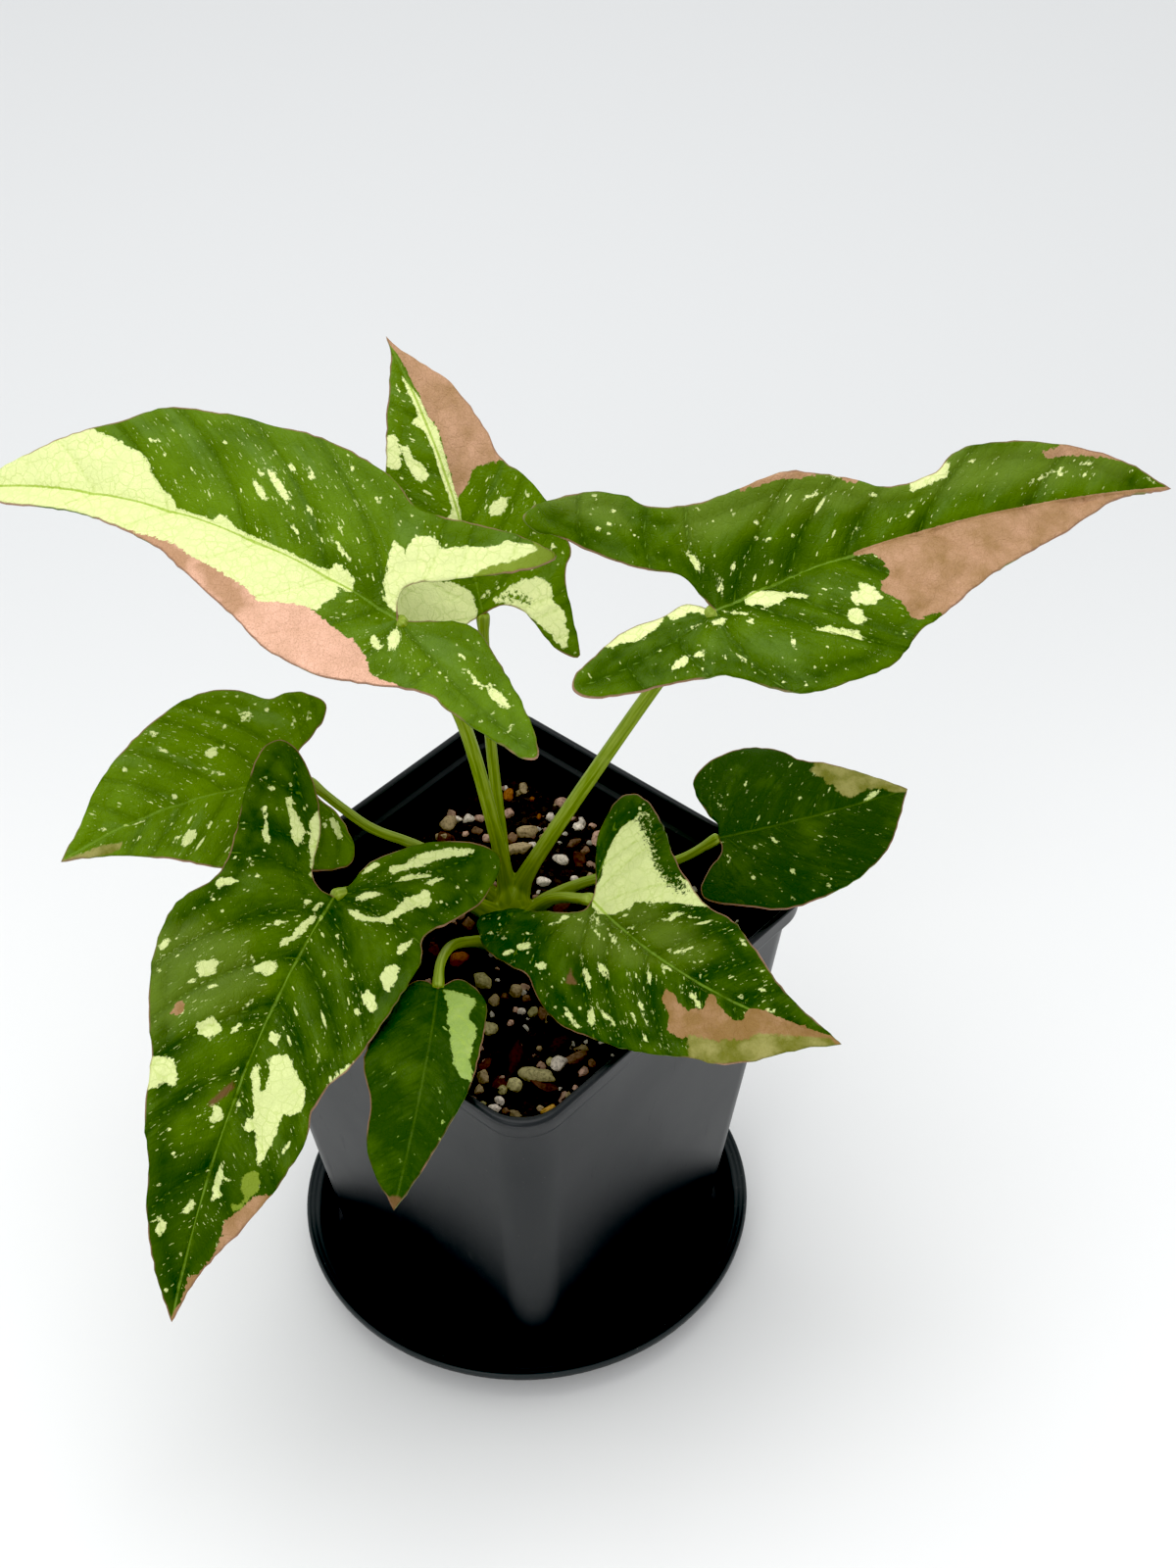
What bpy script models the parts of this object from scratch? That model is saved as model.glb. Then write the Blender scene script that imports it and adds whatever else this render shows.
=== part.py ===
"""Variegated arrowhead plant in a square nursery pot on a round saucer.

Eight arrow-shaped blades stand on petioles that rise from one crown in the soil.
Sizes below are in millimetres and degrees; the scene is in metres, +Z up. The origin is
the middle of the saucer's underside, and a corner of the pot faces the front, along -Y.
"""
from math import cos, pi, radians, sin

import bmesh
import bpy
import numpy as np
from mathutils import Vector
from mathutils.bvhtree import BVHTree
from mathutils.geometry import delaunay_2d_cdt

MM = 0.001
GAP = 0.3

# Saucer: a low flared dish, turned about +Z
SAUCER_RIM_RADIUS = 56.4
SAUCER_BASE_RADIUS = 50.0
SAUCER_HEIGHT = 10.4
SAUCER_FLOOR = 2.0
SAUCER_WELL_RADIUS = 49.4
SAUCER_SIDES = 64

# Pot: a tapered square with rounded corners and a collar at the rim
POT_TURN = 45.3
POT_RIM_WIDTH = 100.0
POT_COLLAR_WIDTH = 98.6
POT_NECK_WIDTH = 95.0
POT_BASE_WIDTH = 72.0
POT_RIM_CORNER = 10.5
POT_BASE_CORNER = 9.0
POT_TOP = 115.6
POT_COLLAR_HEIGHT = 6.4
POT_STEP_DEPTH = 7.0
POT_LIP = 1.9
POT_WALL = 1.3
POT_CORNER_STEPS = 6
DRAIN_HOLE_RADIUS = 4.0
DRAIN_HOLE_SPREAD = 44.0

# Soil: fills the pot to below the rim, with a lumpy top
SOIL_LEVEL = 99.3
SOIL_LUMP = 1.1
SOIL_RINGS = 9
SOIL_SEED = 7

# Crown: the short stem that the petioles grow from
CROWN_X = 0.0
CROWN_Y = 6.0
CROWN_ROOT = 84.0
CROWN_PROFILE = [(4.6, CROWN_ROOT), (6.2, 91.0), (6.4, 99.0), (5.9, 102.0), (4.0, 106.0), (1.8, 109.0)]
CROWN_SIDES = 14
PETIOLE_STEPS = 15

# Blades
BLADE_THICKNESS = 0.65
LOBE_LEVER = 0.35
EDGE_STEPS = 3
MIDRIB_STEPS = 15
FILL_SPACING = 5.5

# Each blade lies flat in its own coordinates first: x along the midrib from the petiole's
# joint to the tip, y to the left. Its outline runs from the joint round a lobe to the tip.
# The pose then bends it; a pair is (left half, right half).
BLADES = {
    "leaf_upper_left": {
        "joint": (-20.6, -2.0, 199.1), "length": 113.0, "half_width": 27.0,
        "heading": 149, "rise": 22, "roll": -18, "arch": -40, "bend": 19, "twist": 0,
        "fold": (14, 28), "curl": (-20, -20), "lobe": (20, 30),
        "wave": (0.0, 0.0), "wave_length": 50.0, "wave_phase": (0, 0),
        "left": [(-11.5, -8.5), (-21, -5), (-33, 3), (-41, 11), (-38.5, 13.5), (-32.5, 12.8), (-20.5, 12),
                 (-13, 11.5), (4, 20), (17, 21.5), (29.5, 18), (44.5, 13), (54, 9.5), (75, 6), (96, 5.2)],
        "right": [(2.5, -4), (1.5, -8), (-3.5, -12), (-16, -22.5), (-19.5, -28), (-10, -28), (0, -24.5),
                  (9, -21.5), (16.5, -24.5), (30.5, -25.5), (41, -24), (51, -23), (63, -21),
                  (72.5, -16), (84.5, -11), (100, -3.8)],
        "petiole": [(0, 6, 100), (-0.8, 8, 107), (-2.9, 8, 127), (-8.9, 3, 167), (-16.5, 0, 188)],
        "petiole_radius": (2.2, 1.4),
    },
    "leaf_back": {
        "joint": (-3.4, 20.0, 182.3), "length": 64.5, "half_width": 21.0,
        "heading": 103, "rise": 50, "roll": -4, "arch": -14, "bend": 15, "twist": 0,
        "fold": (16, 16), "curl": (-20, -20), "lobe": (35, 0),
        "wave": (0.0, 0.0), "wave_length": 30.0, "wave_phase": (0, 0),
        "left": [(-2, 5), (-6, 10), (-11, 15), (-13, 19), (-9, 21), (3, 20.5), (14, 20), (24, 16.5),
                 (37.5, 11.5), (47.5, 7.5), (60, 1)],
        "right": [(1, -4.5), (-1.5, -9), (-9.5, -13.5), (-13, -18), (-10, -19), (4, -19), (10.5, -21.5),
                  (23.5, -17.5), (30.5, -12.5), (37, -11.5), (47, -9), (53, -6), (60, -1.5)],
        "petiole": [(-0.5, 7, 100), (-1.3, 11, 111), (-2, 13.5, 125), (-3.2, 16, 150), (-3.5, 19, 172)],
        "petiole_radius": (1.5, 1.2),
    },
    "leaf_right": {
        "joint": (44.3, -2.0, 197.8), "length": 103.0, "half_width": 26.0,
        "heading": 17, "rise": 15, "roll": 16, "arch": -19, "bend": -12, "twist": 13,
        "fold": (26, 10), "curl": (10, -20), "lobe": (60, 30),
        "wave": (3.5, 2.0), "wave_length": 55.0, "wave_phase": (-41, 60),
        "left": [(-1.5, 4.5), (-3.5, 10), (-9.5, 13.5), (-23, 21), (-30.5, 21.5), (-32, 24), (-24.5, 29),
                 (-13, 34), (-6.5, 31.5), (-3, 26.5), (6, 21.5), (15.5, 20), (24.5, 19.5), (35.5, 15),
                 (42, 11.5), (51.5, 11.5), (59, 15), (75, 12.5), (91, 7.5)],
        "right": [(-4.5, 4.5), (-10.5, 4), (-19, 3.5), (-27.5, -1), (-34, -5.5), (-35, -9.5), (-31, -11.5),
                  (-18, -12.5), (-10, -14), (-4.5, -16), (1.5, -22.5), (8.5, -27), (19, -27),
                  (29.5, -25.5), (37.5, -21), (43, -19.5), (57.5, -13.5), (73, -8.5), (83.5, -4), (91.5, -0.8)],
        "petiole": [(1, 6, 100), (1.5, 8, 109), (6.5, 7, 122.7), (32, 2, 174.5)],
        "petiole_radius": (2.1, 1.4),
    },
    "leaf_small_right": {
        "joint": (47.6, 8.0, 123.9), "length": 46.5, "half_width": 22.0,
        "heading": 4, "rise": 8, "roll": 14, "arch": -14, "bend": 16, "twist": 0,
        "fold": (8, 8), "curl": (-16, -16), "lobe": (8, 8),
        "wave": (0.8, 0.8), "wave_length": 26.0, "wave_phase": (0, 90),
        "left": [(0.5, 3.5), (-1.5, 7.5), (-3, 15), (0, 19.5), (6, 21.5), (14.5, 22.5), (21, 20),
                 (25, 15.5), (31.5, 12), (38, 7.5), (44, 2.5)],
        "right": [(0, -4), (-3.5, -8), (-6, -11.5), (-6.5, -15), (-3, -17.5), (2.5, -19.5), (9, -21.5),
                  (19, -21), (26.5, -19), (34.5, -14), (39, -9), (43.5, -3.5)],
        "petiole": [(2, 6, 101.5), (7, 7.5, 106.5), (16, 8.5, 111), (26.7, 8, 114.4), (38.7, 8, 117.6)],
        "petiole_radius": (1.4, 1.1),
    },
    "leaf_centre": {
        "joint": (17.3, -16.0, 130.0), "length": 68.0, "half_width": 23.0,
        "heading": -60, "rise": 0, "roll": 28, "arch": -14, "bend": 30, "twist": 12,
        "fold": (14, 14), "curl": (-20, -20), "lobe": (12, 12),
        "wave": (1.2, 1.2), "wave_length": 34.0, "wave_phase": (0, 120),
        "left": [(-1.5, 2.5), (-10, 10.5), (-13.5, 18), (-13, 22.5), (-8.5, 24), (-0.5, 22.5), (14, 18),
                 (25.5, 15), (34, 15), (42.5, 12), (51.5, 7), (61, 3)],
        "right": [(0.5, -4), (-7.5, -11.5), (-11.5, -14.5), (-16, -20.5), (-14.5, -23), (-7.5, -24.5),
                  (0, -23), (3.5, -21.5), (7, -23), (13.5, -24.5), (20.5, -23), (30, -20), (41, -15),
                  (46.5, -13.5), (53, -9.5), (61, -3.5)],
        "petiole": [(1, 4, 101.5), (3, 2, 107), (6, -1, 113.5), (10.3, -6, 121.2)],
        "petiole_radius": (1.6, 1.2),
    },
    "leaf_small_front": {
        "joint": (-16.9, -35.3, 125.0), "length": 50.0, "half_width": 12.0,
        "heading": -97, "rise": -6, "roll": -3, "arch": -32, "bend": -11, "twist": 0,
        "fold": (8, 8), "curl": (-14, -14), "lobe": (8, 8),
        "wave": (0.6, 0.6), "wave_length": 22.0, "wave_phase": (0, 120),
        "left": [(-2.5, 4), (-0.5, 8), (4.5, 11), (12.5, 11), (22.5, 10), (30.5, 7.5), (41, 4)],
        "right": [(-1.5, -3), (-0.2, -6), (7, -10), (19.5, -13), (28.5, -10), (36.5, -9), (43, -6)],
        "petiole": [(-1, 3, 102), (-5.7, -3.5, 105), (-8.7, -8, 110.5), (-13.7, -19, 121),
                    (-16.2, -28, 125.2)],
        "petiole_radius": (1.5, 1.1),
    },
    "leaf_front_left": {
        "joint": (-38.6, -16.0, 134.9), "length": 97.7, "half_width": 26.0,
        "heading": -119, "rise": -9, "roll": -13, "arch": -40, "bend": 16, "twist": 0,
        "fold": (16, 26), "curl": (-18, -18), "lobe": (15, 45),
        "wave": (1.5, 1.5), "wave_length": 40.0, "wave_phase": (30, 200),
        "left": [(-4, 1.5), (-11, 3), (-18.5, 10), (-23.5, 19), (-24.5, 26), (-22.5, 29), (-14, 29),
                 (-6, 26), (1.5, 22.5), (9, 25), (25.5, 23), (35, 21), (42, 18), (47.5, 17),
                 (55.5, 17.5), (70.5, 12.5), (87, 3.5)],
        "right": [(0.5, -3.5), (-1.5, -7), (-10, -10), (-16.5, -14.5), (-21, -20), (-23, -24),
                  (-22.5, -27.5), (-18, -29.5), (-8, -28), (8, -24), (18.5, -28), (28, -27.5),
                  (38, -24.5), (48, -19.5), (57.5, -17), (68, -12.5), (77.5, -10), (88, -5.5)],
        "petiole": [(-1, 5, 101.5), (-5, 4, 107), (-14, 0, 118), (-27, -7, 129)],
        "petiole_radius": (1.9, 1.4),
    },
    "leaf_back_left": {
        "joint": (-44.7, 16.8, 139.5), "length": 58.3, "half_width": 22.5,
        "heading": 191, "rise": 11, "roll": -22, "arch": -26, "bend": 24, "twist": 0,
        "fold": (13, 13), "curl": (-12, -12), "lobe": (5, 5),
        "wave": (0.8, 0.8), "wave_length": 30.0, "wave_phase": (0, 120),
        "left": [(-2, 5.5), (-5.5, 9.5), (-8, 18.5), (-5, 23), (7.5, 23.5), (25, 18.5), (35, 13), (45.5, 6.5)],
        "right": [(1.5, -3), (1.5, -7), (-2.5, -11.5), (-5, -15), (-5.5, -18.5), (-1.5, -21), (2.5, -21.5),
                  (6.5, -20.5), (12, -24), (18, -24.5), (26, -21.5), (34, -17.5), (43.5, -11.5), (50.5, -5)],
        "petiole": [(-1, 7, 101.5), (-5.5, 9.5, 109), (-13.9, 12, 116.5), (-22.3, 12, 123), (-31, 12, 128.3),
                    (-37.5, 14.3, 133)],
        "petiole_radius": (1.5, 1.1),
    },
}

PLANT_GREEN = (0.10, 0.22, 0.035, 1.0)
STEM_GREEN = (0.30, 0.42, 0.12, 1.0)
POT_BLACK = (0.012, 0.013, 0.014, 1.0)
SAUCER_BLACK = (0.008, 0.009, 0.010, 1.0)
SOIL_BROWN = (0.022, 0.014, 0.009, 1.0)


def clear_scene():
    for old in list(bpy.data.objects):
        bpy.data.objects.remove(old, do_unlink=True)


def collection(name):
    group = bpy.data.collections.new(name)
    bpy.context.scene.collection.children.link(group)
    return group


def material(name, color, roughness):
    mat = bpy.data.materials.new(name)
    mat.use_nodes = True
    shader = mat.node_tree.nodes["Principled BSDF"]
    shader.inputs["Base Color"].default_value = color
    shader.inputs["Roughness"].default_value = roughness
    shader.inputs["Metallic"].default_value = 0.0
    return mat


def add_object(name, bm, group, mat):
    """Turn a bmesh in millimetres into a named object in metres."""
    bmesh.ops.scale(bm, vec=(MM, MM, MM), verts=bm.verts)
    mesh = bpy.data.meshes.new(name)
    bm.to_mesh(mesh)
    bm.free()
    mesh.materials.append(mat)
    obj = bpy.data.objects.new(name, mesh)
    group.objects.link(obj)
    return obj


def smooth_path(points, steps):
    """A curve through all the points, with the same number of steps between each two."""
    p = [np.array(q, float) for q in points]
    p = [2 * p[0] - p[1]] + p + [2 * p[-1] - p[-2]]
    path = []
    for a, b, c, d in zip(p, p[1:], p[2:], p[3:]):
        for t in np.arange(steps) / steps:
            bend = (2 * a - 5 * b + 4 * c - d) * t ** 2 + (3 * b - a - 3 * c + d) * t ** 3
            path.append(0.5 * (2 * b + (c - a) * t + bend))
    path.append(p[-2])
    return np.array(path)


def turn(axis, angle):
    """Rotation matrices about x, y or z for an array of angles in radians."""
    c, s = np.cos(angle), np.sin(angle)
    o, z = np.ones_like(c), np.zeros_like(c)
    rows = {
        "x": [[o, z, z], [z, c, -s], [z, s, c]],
        "y": [[c, z, s], [z, o, z], [-s, z, c]],
        "z": [[c, -s, z], [s, c, z], [z, z, o]],
    }[axis]
    return np.moveaxis(np.array(rows), (0, 1), (-2, -1))


def midrib_turns(blade, x):
    share = np.clip(x, 0, None) / blade["length"]
    bend = turn("z", radians(blade["bend"]) * share)
    arch = turn("y", -radians(blade["arch"]) * share)
    twist = turn("x", radians(blade["twist"]) * share)
    return bend @ arch @ twist


def blade_turn(blade):
    heading = turn("z", np.array(radians(blade["heading"])))
    rise = turn("y", np.array(-radians(blade["rise"])))
    roll = turn("x", np.array(radians(blade["roll"])))
    return heading @ rise @ roll


def blade_points(blade, flat, side):
    """Bend flat blade coordinates into the plant's place; side is 0 for left, 1 for right."""
    x, y = flat[:, 0], flat[:, 1]
    sign = 1 - 2 * side
    stations = np.linspace(0, 1.15 * blade["length"], 61)
    tangent = midrib_turns(blade, stations)[:, :, 0]
    steps = (tangent[1:] + tangent[:-1]) / 2 * np.diff(stations)[:, None]
    line = np.vstack([np.zeros(3), np.cumsum(steps, axis=0)])
    ahead = np.clip(x, 0, None)
    midrib = np.stack([np.interp(ahead, stations, line[:, i]) for i in range(3)], axis=-1)
    out = sign * y
    reach = out / blade["half_width"]
    slope = np.radians(blade["fold"][side] + blade["curl"][side] * np.abs(reach) / 2)
    phase = radians(blade["wave_phase"][side])
    wave = blade["wave"][side] * reach ** 2 * np.sin(2 * pi * x / blade["wave_length"] + phase)
    behind = np.clip(-x, 0, None)
    lift = radians(blade["lobe"][side]) * behind / (2 * LOBE_LEVER * blade["length"])
    local = np.stack([-behind * np.cos(lift), y * np.cos(slope),
                      out * np.sin(slope) + wave + behind * np.sin(lift)], axis=-1)
    bent = midrib + np.einsum("nij,nj->ni", midrib_turns(blade, ahead), local)
    return np.array(blade["joint"]) + bent @ blade_turn(blade).T


def inside(outline, points):
    """True for the points inside a closed outline, by counting the edges to their right."""
    a, b = outline, np.roll(outline, -1, axis=0)
    x, y = points[:, :1], points[:, 1:]
    level = a[:, 1] == b[:, 1]
    rise = np.where(level, 1.0, b[:, 1] - a[:, 1])
    crossing = a[:, 0] + (y - a[:, 1]) * (b[:, 0] - a[:, 0]) / rise
    passed = ((a[:, 1] > y) != (b[:, 1] > y)) & (x < crossing)
    return passed.sum(axis=1) % 2 == 1


def half_sheet(blade, edge):
    """Triangles that fill one half of a flat blade, from its edge to the midrib."""
    rim = smooth_path([(0, 0)] + edge + [(blade["length"], 0)], EDGE_STEPS)
    midrib = np.linspace(blade["length"], 0, MIDRIB_STEPS + 1)[1:-1]
    outline = np.vstack([rim, np.stack([midrib, 0 * midrib], axis=-1)])
    low, high = outline.min(axis=0), outline.max(axis=0)
    rows = np.arange(low[1], high[1], FILL_SPACING * sin(pi / 3))
    fill = [(x + FILL_SPACING / 2 * (i % 2), y) for i, y in enumerate(rows)
            for x in np.arange(low[0], high[0], FILL_SPACING)]
    fill = np.array(fill)
    fill = fill[inside(outline, fill)]
    dense = np.vstack([outline, (outline + np.roll(outline, -1, axis=0)) / 2])
    near = np.linalg.norm(fill[:, None] - dense[None], axis=-1).min(axis=1)
    fill = fill[near > 0.5 * FILL_SPACING]
    points = [Vector(p) for p in np.vstack([outline, fill])]
    border = [list(range(len(outline)))]
    flat, _, faces, _, _, _ = delaunay_2d_cdt(points, [], border, 1, 1e-5)
    return np.array([tuple(p) for p in flat]), faces


def blade_mesh(blade):
    """The upper surface of a blade as one open sheet of triangles."""
    bm = bmesh.new()
    for side, key in enumerate(("left", "right")):
        flat, faces = half_sheet(blade, blade[key])
        verts = [bm.verts.new(p) for p in blade_points(blade, flat, side)]
        for face in faces:
            bm.faces.new([verts[i] for i in face])
    bmesh.ops.remove_doubles(bm, verts=bm.verts, dist=0.01)
    return bm


def make_blade(name, blade, group):
    bm = blade_mesh(blade)
    obj = add_object(name, bm, group, material(name, PLANT_GREEN, 0.4))
    solid = obj.modifiers.new("thickness", "SOLIDIFY")
    solid.thickness = BLADE_THICKNESS * MM
    solid.offset = -1.0
    return obj


def evaluated_tree(obj):
    graph = bpy.context.evaluated_depsgraph_get()
    bm = bmesh.new()
    bm.from_object(obj, graph)
    tree = BVHTree.FromBMesh(bm)
    bm.free()
    return tree


def petiole_path(blade, tree):
    """The petiole's middle line, ended where its tip is a gap away from the blade."""
    start_radius, end_radius = blade["petiole_radius"]
    path = smooth_path(blade["petiole"] + [blade["joint"]], 40)
    last = len(path) - 1
    while last > 2:
        tip = Vector(path[last])
        along = Vector(path[last] - path[last - 1]).normalized()
        side = along.orthogonal().normalized()
        rim = [tip + end_radius * (side * cos(a) + along.cross(side) * sin(a))
               for a in np.linspace(0, 2 * pi, 12, endpoint=False)]
        if min(tree.find_nearest(p * MM)[3] for p in rim + [tip]) > 1.25 * GAP * MM:
            break
        last -= 1
    picks = np.linspace(0, last, PETIOLE_STEPS).round().astype(int)
    shares = picks / last
    radii = start_radius + (end_radius - start_radius) * np.minimum(1, 1.6 * shares)
    return path[picks], radii


def tube(name, path, radii, group, mat):
    """A round bar along a path, as a closed mesh."""
    curve = bpy.data.curves.new(name, "CURVE")
    curve.dimensions = "3D"
    curve.bevel_depth = MM
    curve.bevel_resolution = 2
    curve.use_fill_caps = True
    spline = curve.splines.new("POLY")
    spline.points.add(len(path) - 1)
    for point, place, radius in zip(spline.points, path, radii):
        point.co = (*(place * MM), 1.0)
        point.radius = radius
    guide = bpy.data.objects.new(name, curve)
    group.objects.link(guide)
    bpy.context.view_layer.update()
    mesh = bpy.data.meshes.new_from_object(guide.evaluated_get(bpy.context.evaluated_depsgraph_get()))
    bpy.data.objects.remove(guide, do_unlink=True)
    bm = bmesh.new()
    bm.from_mesh(mesh)
    bmesh.ops.remove_doubles(bm, verts=bm.verts, dist=0.01 * MM)
    bmesh.ops.recalc_face_normals(bm, faces=bm.faces)
    bm.to_mesh(mesh)
    bm.free()
    mesh.materials.clear()
    mesh.materials.append(mat)
    obj = bpy.data.objects.new(name, mesh)
    group.objects.link(obj)
    return obj


def turned(name, profile, sides, group, mat, center=(0.0, 0.0)):
    """A closed body turned about a vertical axis from (radius, height) points, top to bottom."""
    bm = bmesh.new()
    verts = [bm.verts.new((radius, 0.0, height)) for radius, height in profile]
    for a, b in zip(verts, verts[1:]):
        bm.edges.new((a, b))
    obj = add_object(name, bm, group, mat)
    obj.location = (center[0] * MM, center[1] * MM, 0.0)
    screw = obj.modifiers.new("turn", "SCREW")
    screw.steps = sides
    screw.render_steps = sides
    screw.use_merge_vertices = True
    screw.merge_threshold = 0.0001
    return obj


def boolean(obj, operation, cutter=None, cutters=None):
    cut = obj.modifiers.new(operation.lower(), "BOOLEAN")
    cut.operation = operation
    cut.solver = "EXACT"
    if cutters:
        cut.operand_type = "COLLECTION"
        cut.collection = cutters
    else:
        cut.object = cutter
    return cut


def apply_modifiers(obj):
    bpy.context.view_layer.update()
    mesh = bpy.data.meshes.new_from_object(obj.evaluated_get(bpy.context.evaluated_depsgraph_get()))
    obj.modifiers.clear()
    obj.data = mesh


def make_stem(blades, group, pieces):
    """Crown and petioles, joined in one body."""
    mat = material("stem", STEM_GREEN, 0.45)
    profile = [(0.0, CROWN_PROFILE[-1][1] + 1.0)] + CROWN_PROFILE[::-1] + [(0.0, CROWN_ROOT)]
    stem = turned("stem", profile, CROWN_SIDES, group, mat, (CROWN_X, CROWN_Y))
    for name, obj in blades.items():
        path, radii = petiole_path(BLADES[name], evaluated_tree(obj))
        tube("petiole_" + name, path, radii, pieces, mat)
    boolean(stem, "UNION", cutters=pieces)
    apply_modifiers(stem)
    for piece in list(pieces.objects):
        bpy.data.objects.remove(piece, do_unlink=True)
    return stem


def rounded_square(half, corner, steps):
    """Corner points of a square with round corners, turned as the pot stands."""
    points = []
    for quarter in range(4):
        for i in range(steps + 1):
            angle = pi / 2 * i / steps
            x = half - corner + corner * cos(angle)
            y = half - corner + corner * sin(angle)
            spin = radians(POT_TURN + 90 * quarter)
            points.append((x * cos(spin) - y * sin(spin), x * sin(spin) + y * cos(spin)))
    return points


def loft(bm, rings):
    """Join rings of points by bands of faces and close both ends."""
    layers = [[bm.verts.new(p) for p in ring] for ring in rings]
    count = len(layers[0])
    for low, high in zip(layers, layers[1:]):
        for i in range(count):
            j = (i + 1) % count
            bm.faces.new((low[i], low[j], high[j], high[i]))
    bm.faces.new(layers[0][::-1])
    bm.faces.new(layers[-1])


def pot_inside(height):
    """Half width of the pot's inside at a height below the step."""
    low = SAUCER_FLOOR + GAP + POT_WALL
    high = POT_TOP - POT_STEP_DEPTH
    share = (height - low) / (high - low)
    half_low = POT_BASE_WIDTH / 2 - POT_WALL
    half_high = POT_NECK_WIDTH / 2 - POT_WALL
    return half_low + (half_high - half_low) * share


def pot_corner(half):
    """Corner radius that grows with the pot's width."""
    share = (half - POT_BASE_WIDTH / 2) / (POT_RIM_WIDTH / 2 - POT_BASE_WIDTH / 2)
    return POT_BASE_CORNER + (POT_RIM_CORNER - POT_BASE_CORNER) * share


def make_pot(group, cutters):
    base = SAUCER_FLOOR + GAP
    floor = base + POT_WALL
    collar = POT_TOP - POT_COLLAR_HEIGHT
    step = POT_TOP - POT_STEP_DEPTH
    rim = POT_RIM_WIDTH / 2
    profile = [
        (POT_BASE_WIDTH / 2 - 1.2, base),
        (POT_BASE_WIDTH / 2, base + 1.2),
        (POT_NECK_WIDTH / 2, collar),
        (POT_COLLAR_WIDTH / 2, collar + 0.8),
        (rim - 0.3, POT_TOP - 1.6),
        (rim, POT_TOP - 0.9),
        (rim - 0.5, POT_TOP - 0.1),
        (rim - 1.0, POT_TOP),
        (rim - POT_LIP + 0.3, POT_TOP - 0.3),
        (rim - POT_LIP, POT_TOP - 1.0),
        (POT_NECK_WIDTH / 2 + 0.1, step + 0.8),
        (pot_inside(step), step),
        (pot_inside(floor + 1.0), floor + 1.0),
        (pot_inside(floor) - 1.0, floor),
    ]
    bm = bmesh.new()
    rings = []
    for half, height in profile:
        outline = rounded_square(half, pot_corner(half), POT_CORNER_STEPS)
        rings.append([(x, y, height) for x, y in outline])
    loft(bm, rings)
    bmesh.ops.recalc_face_normals(bm, faces=bm.faces)
    pot = add_object("pot", bm, group, material("pot", POT_BLACK, 0.35))
    spots = [(0.0, 0.0)]
    for quarter in range(4):
        angle = radians(POT_TURN + 90 * quarter + 45)
        spots.append((DRAIN_HOLE_SPREAD / 2 * cos(angle), DRAIN_HOLE_SPREAD / 2 * sin(angle)))
    for i, (x, y) in enumerate(spots):
        hole = bmesh.new()
        bmesh.ops.create_cone(hole, cap_ends=True, segments=16, radius1=DRAIN_HOLE_RADIUS,
                              radius2=DRAIN_HOLE_RADIUS, depth=4 * POT_WALL)
        bmesh.ops.translate(hole, verts=hole.verts, vec=(x, y, base + POT_WALL / 2))
        cutter = add_object("drain_hole_%d" % i, hole, cutters, material("cutter", POT_BLACK, 0.5))
        cutter.hide_render = True
        cutter.display_type = "WIRE"
        boolean(pot, "DIFFERENCE", cutter)
    return pot


def make_saucer(group):
    rim = SAUCER_RIM_RADIUS
    top = SAUCER_HEIGHT
    profile = [
        (0.0, SAUCER_FLOOR),
        (SAUCER_WELL_RADIUS, SAUCER_FLOOR),
        (SAUCER_WELL_RADIUS + 1.2, SAUCER_FLOOR + 1.0),
        (rim - 4.0, top - 1.4),
        (rim - 3.2, top - 0.6),
        (rim - 2.6, top - 1.0),
        (rim - 2.0, top - 0.4),
        (rim - 1.4, top - 0.7),
        (rim - 0.8, top),
        (rim, top - 0.6),
        (rim - 0.1, top - 1.8),
        (SAUCER_BASE_RADIUS + 0.8, 0.8),
        (SAUCER_BASE_RADIUS, 0.0),
        (0.0, 0.0),
    ]
    return turned("saucer", profile, SAUCER_SIDES, group, material("saucer", SAUCER_BLACK, 0.4))


def make_soil(group, cutters):
    rng = np.random.default_rng(SOIL_SEED)
    floor = SAUCER_FLOOR + GAP + POT_WALL + GAP
    rings = []
    for height in (floor, floor + 1.5, SOIL_LEVEL):
        half = pot_inside(height) - GAP - (1.5 if height == floor else 0.0)
        outline = rounded_square(half, pot_corner(half), POT_CORNER_STEPS)
        rings.append([(x, y, height) for x, y in outline])
    edge = rings[-1]
    for ring in range(1, SOIL_RINGS):
        share = 1 - ring / SOIL_RINGS
        lumps = SOIL_LUMP * rng.uniform(-1, 1, len(edge)) * min(1, ring / 2)
        rings.append([(x * share, y * share, SOIL_LEVEL + lump) for (x, y, z), lump in zip(edge, lumps)])
    bm = bmesh.new()
    loft(bm, rings)
    bmesh.ops.triangulate(bm, faces=bm.faces)
    bmesh.ops.recalc_face_normals(bm, faces=bm.faces)
    soil = add_object("soil", bm, group, material("soil", SOIL_BROWN, 0.95))
    hole = bmesh.new()
    depth = 40.0
    bmesh.ops.create_cone(hole, cap_ends=True, segments=20, radius1=max(r for r, z in CROWN_PROFILE) + 2 * GAP,
                          radius2=max(r for r, z in CROWN_PROFILE) + 2 * GAP, depth=depth)
    bmesh.ops.translate(hole, verts=hole.verts, vec=(CROWN_X, CROWN_Y, CROWN_ROOT - GAP + depth / 2))
    cutter = add_object("crown_hole", hole, cutters, material("cutter", SOIL_BROWN, 0.5))
    cutter.hide_render = True
    cutter.display_type = "WIRE"
    boolean(soil, "DIFFERENCE", cutter)
    return soil


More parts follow.
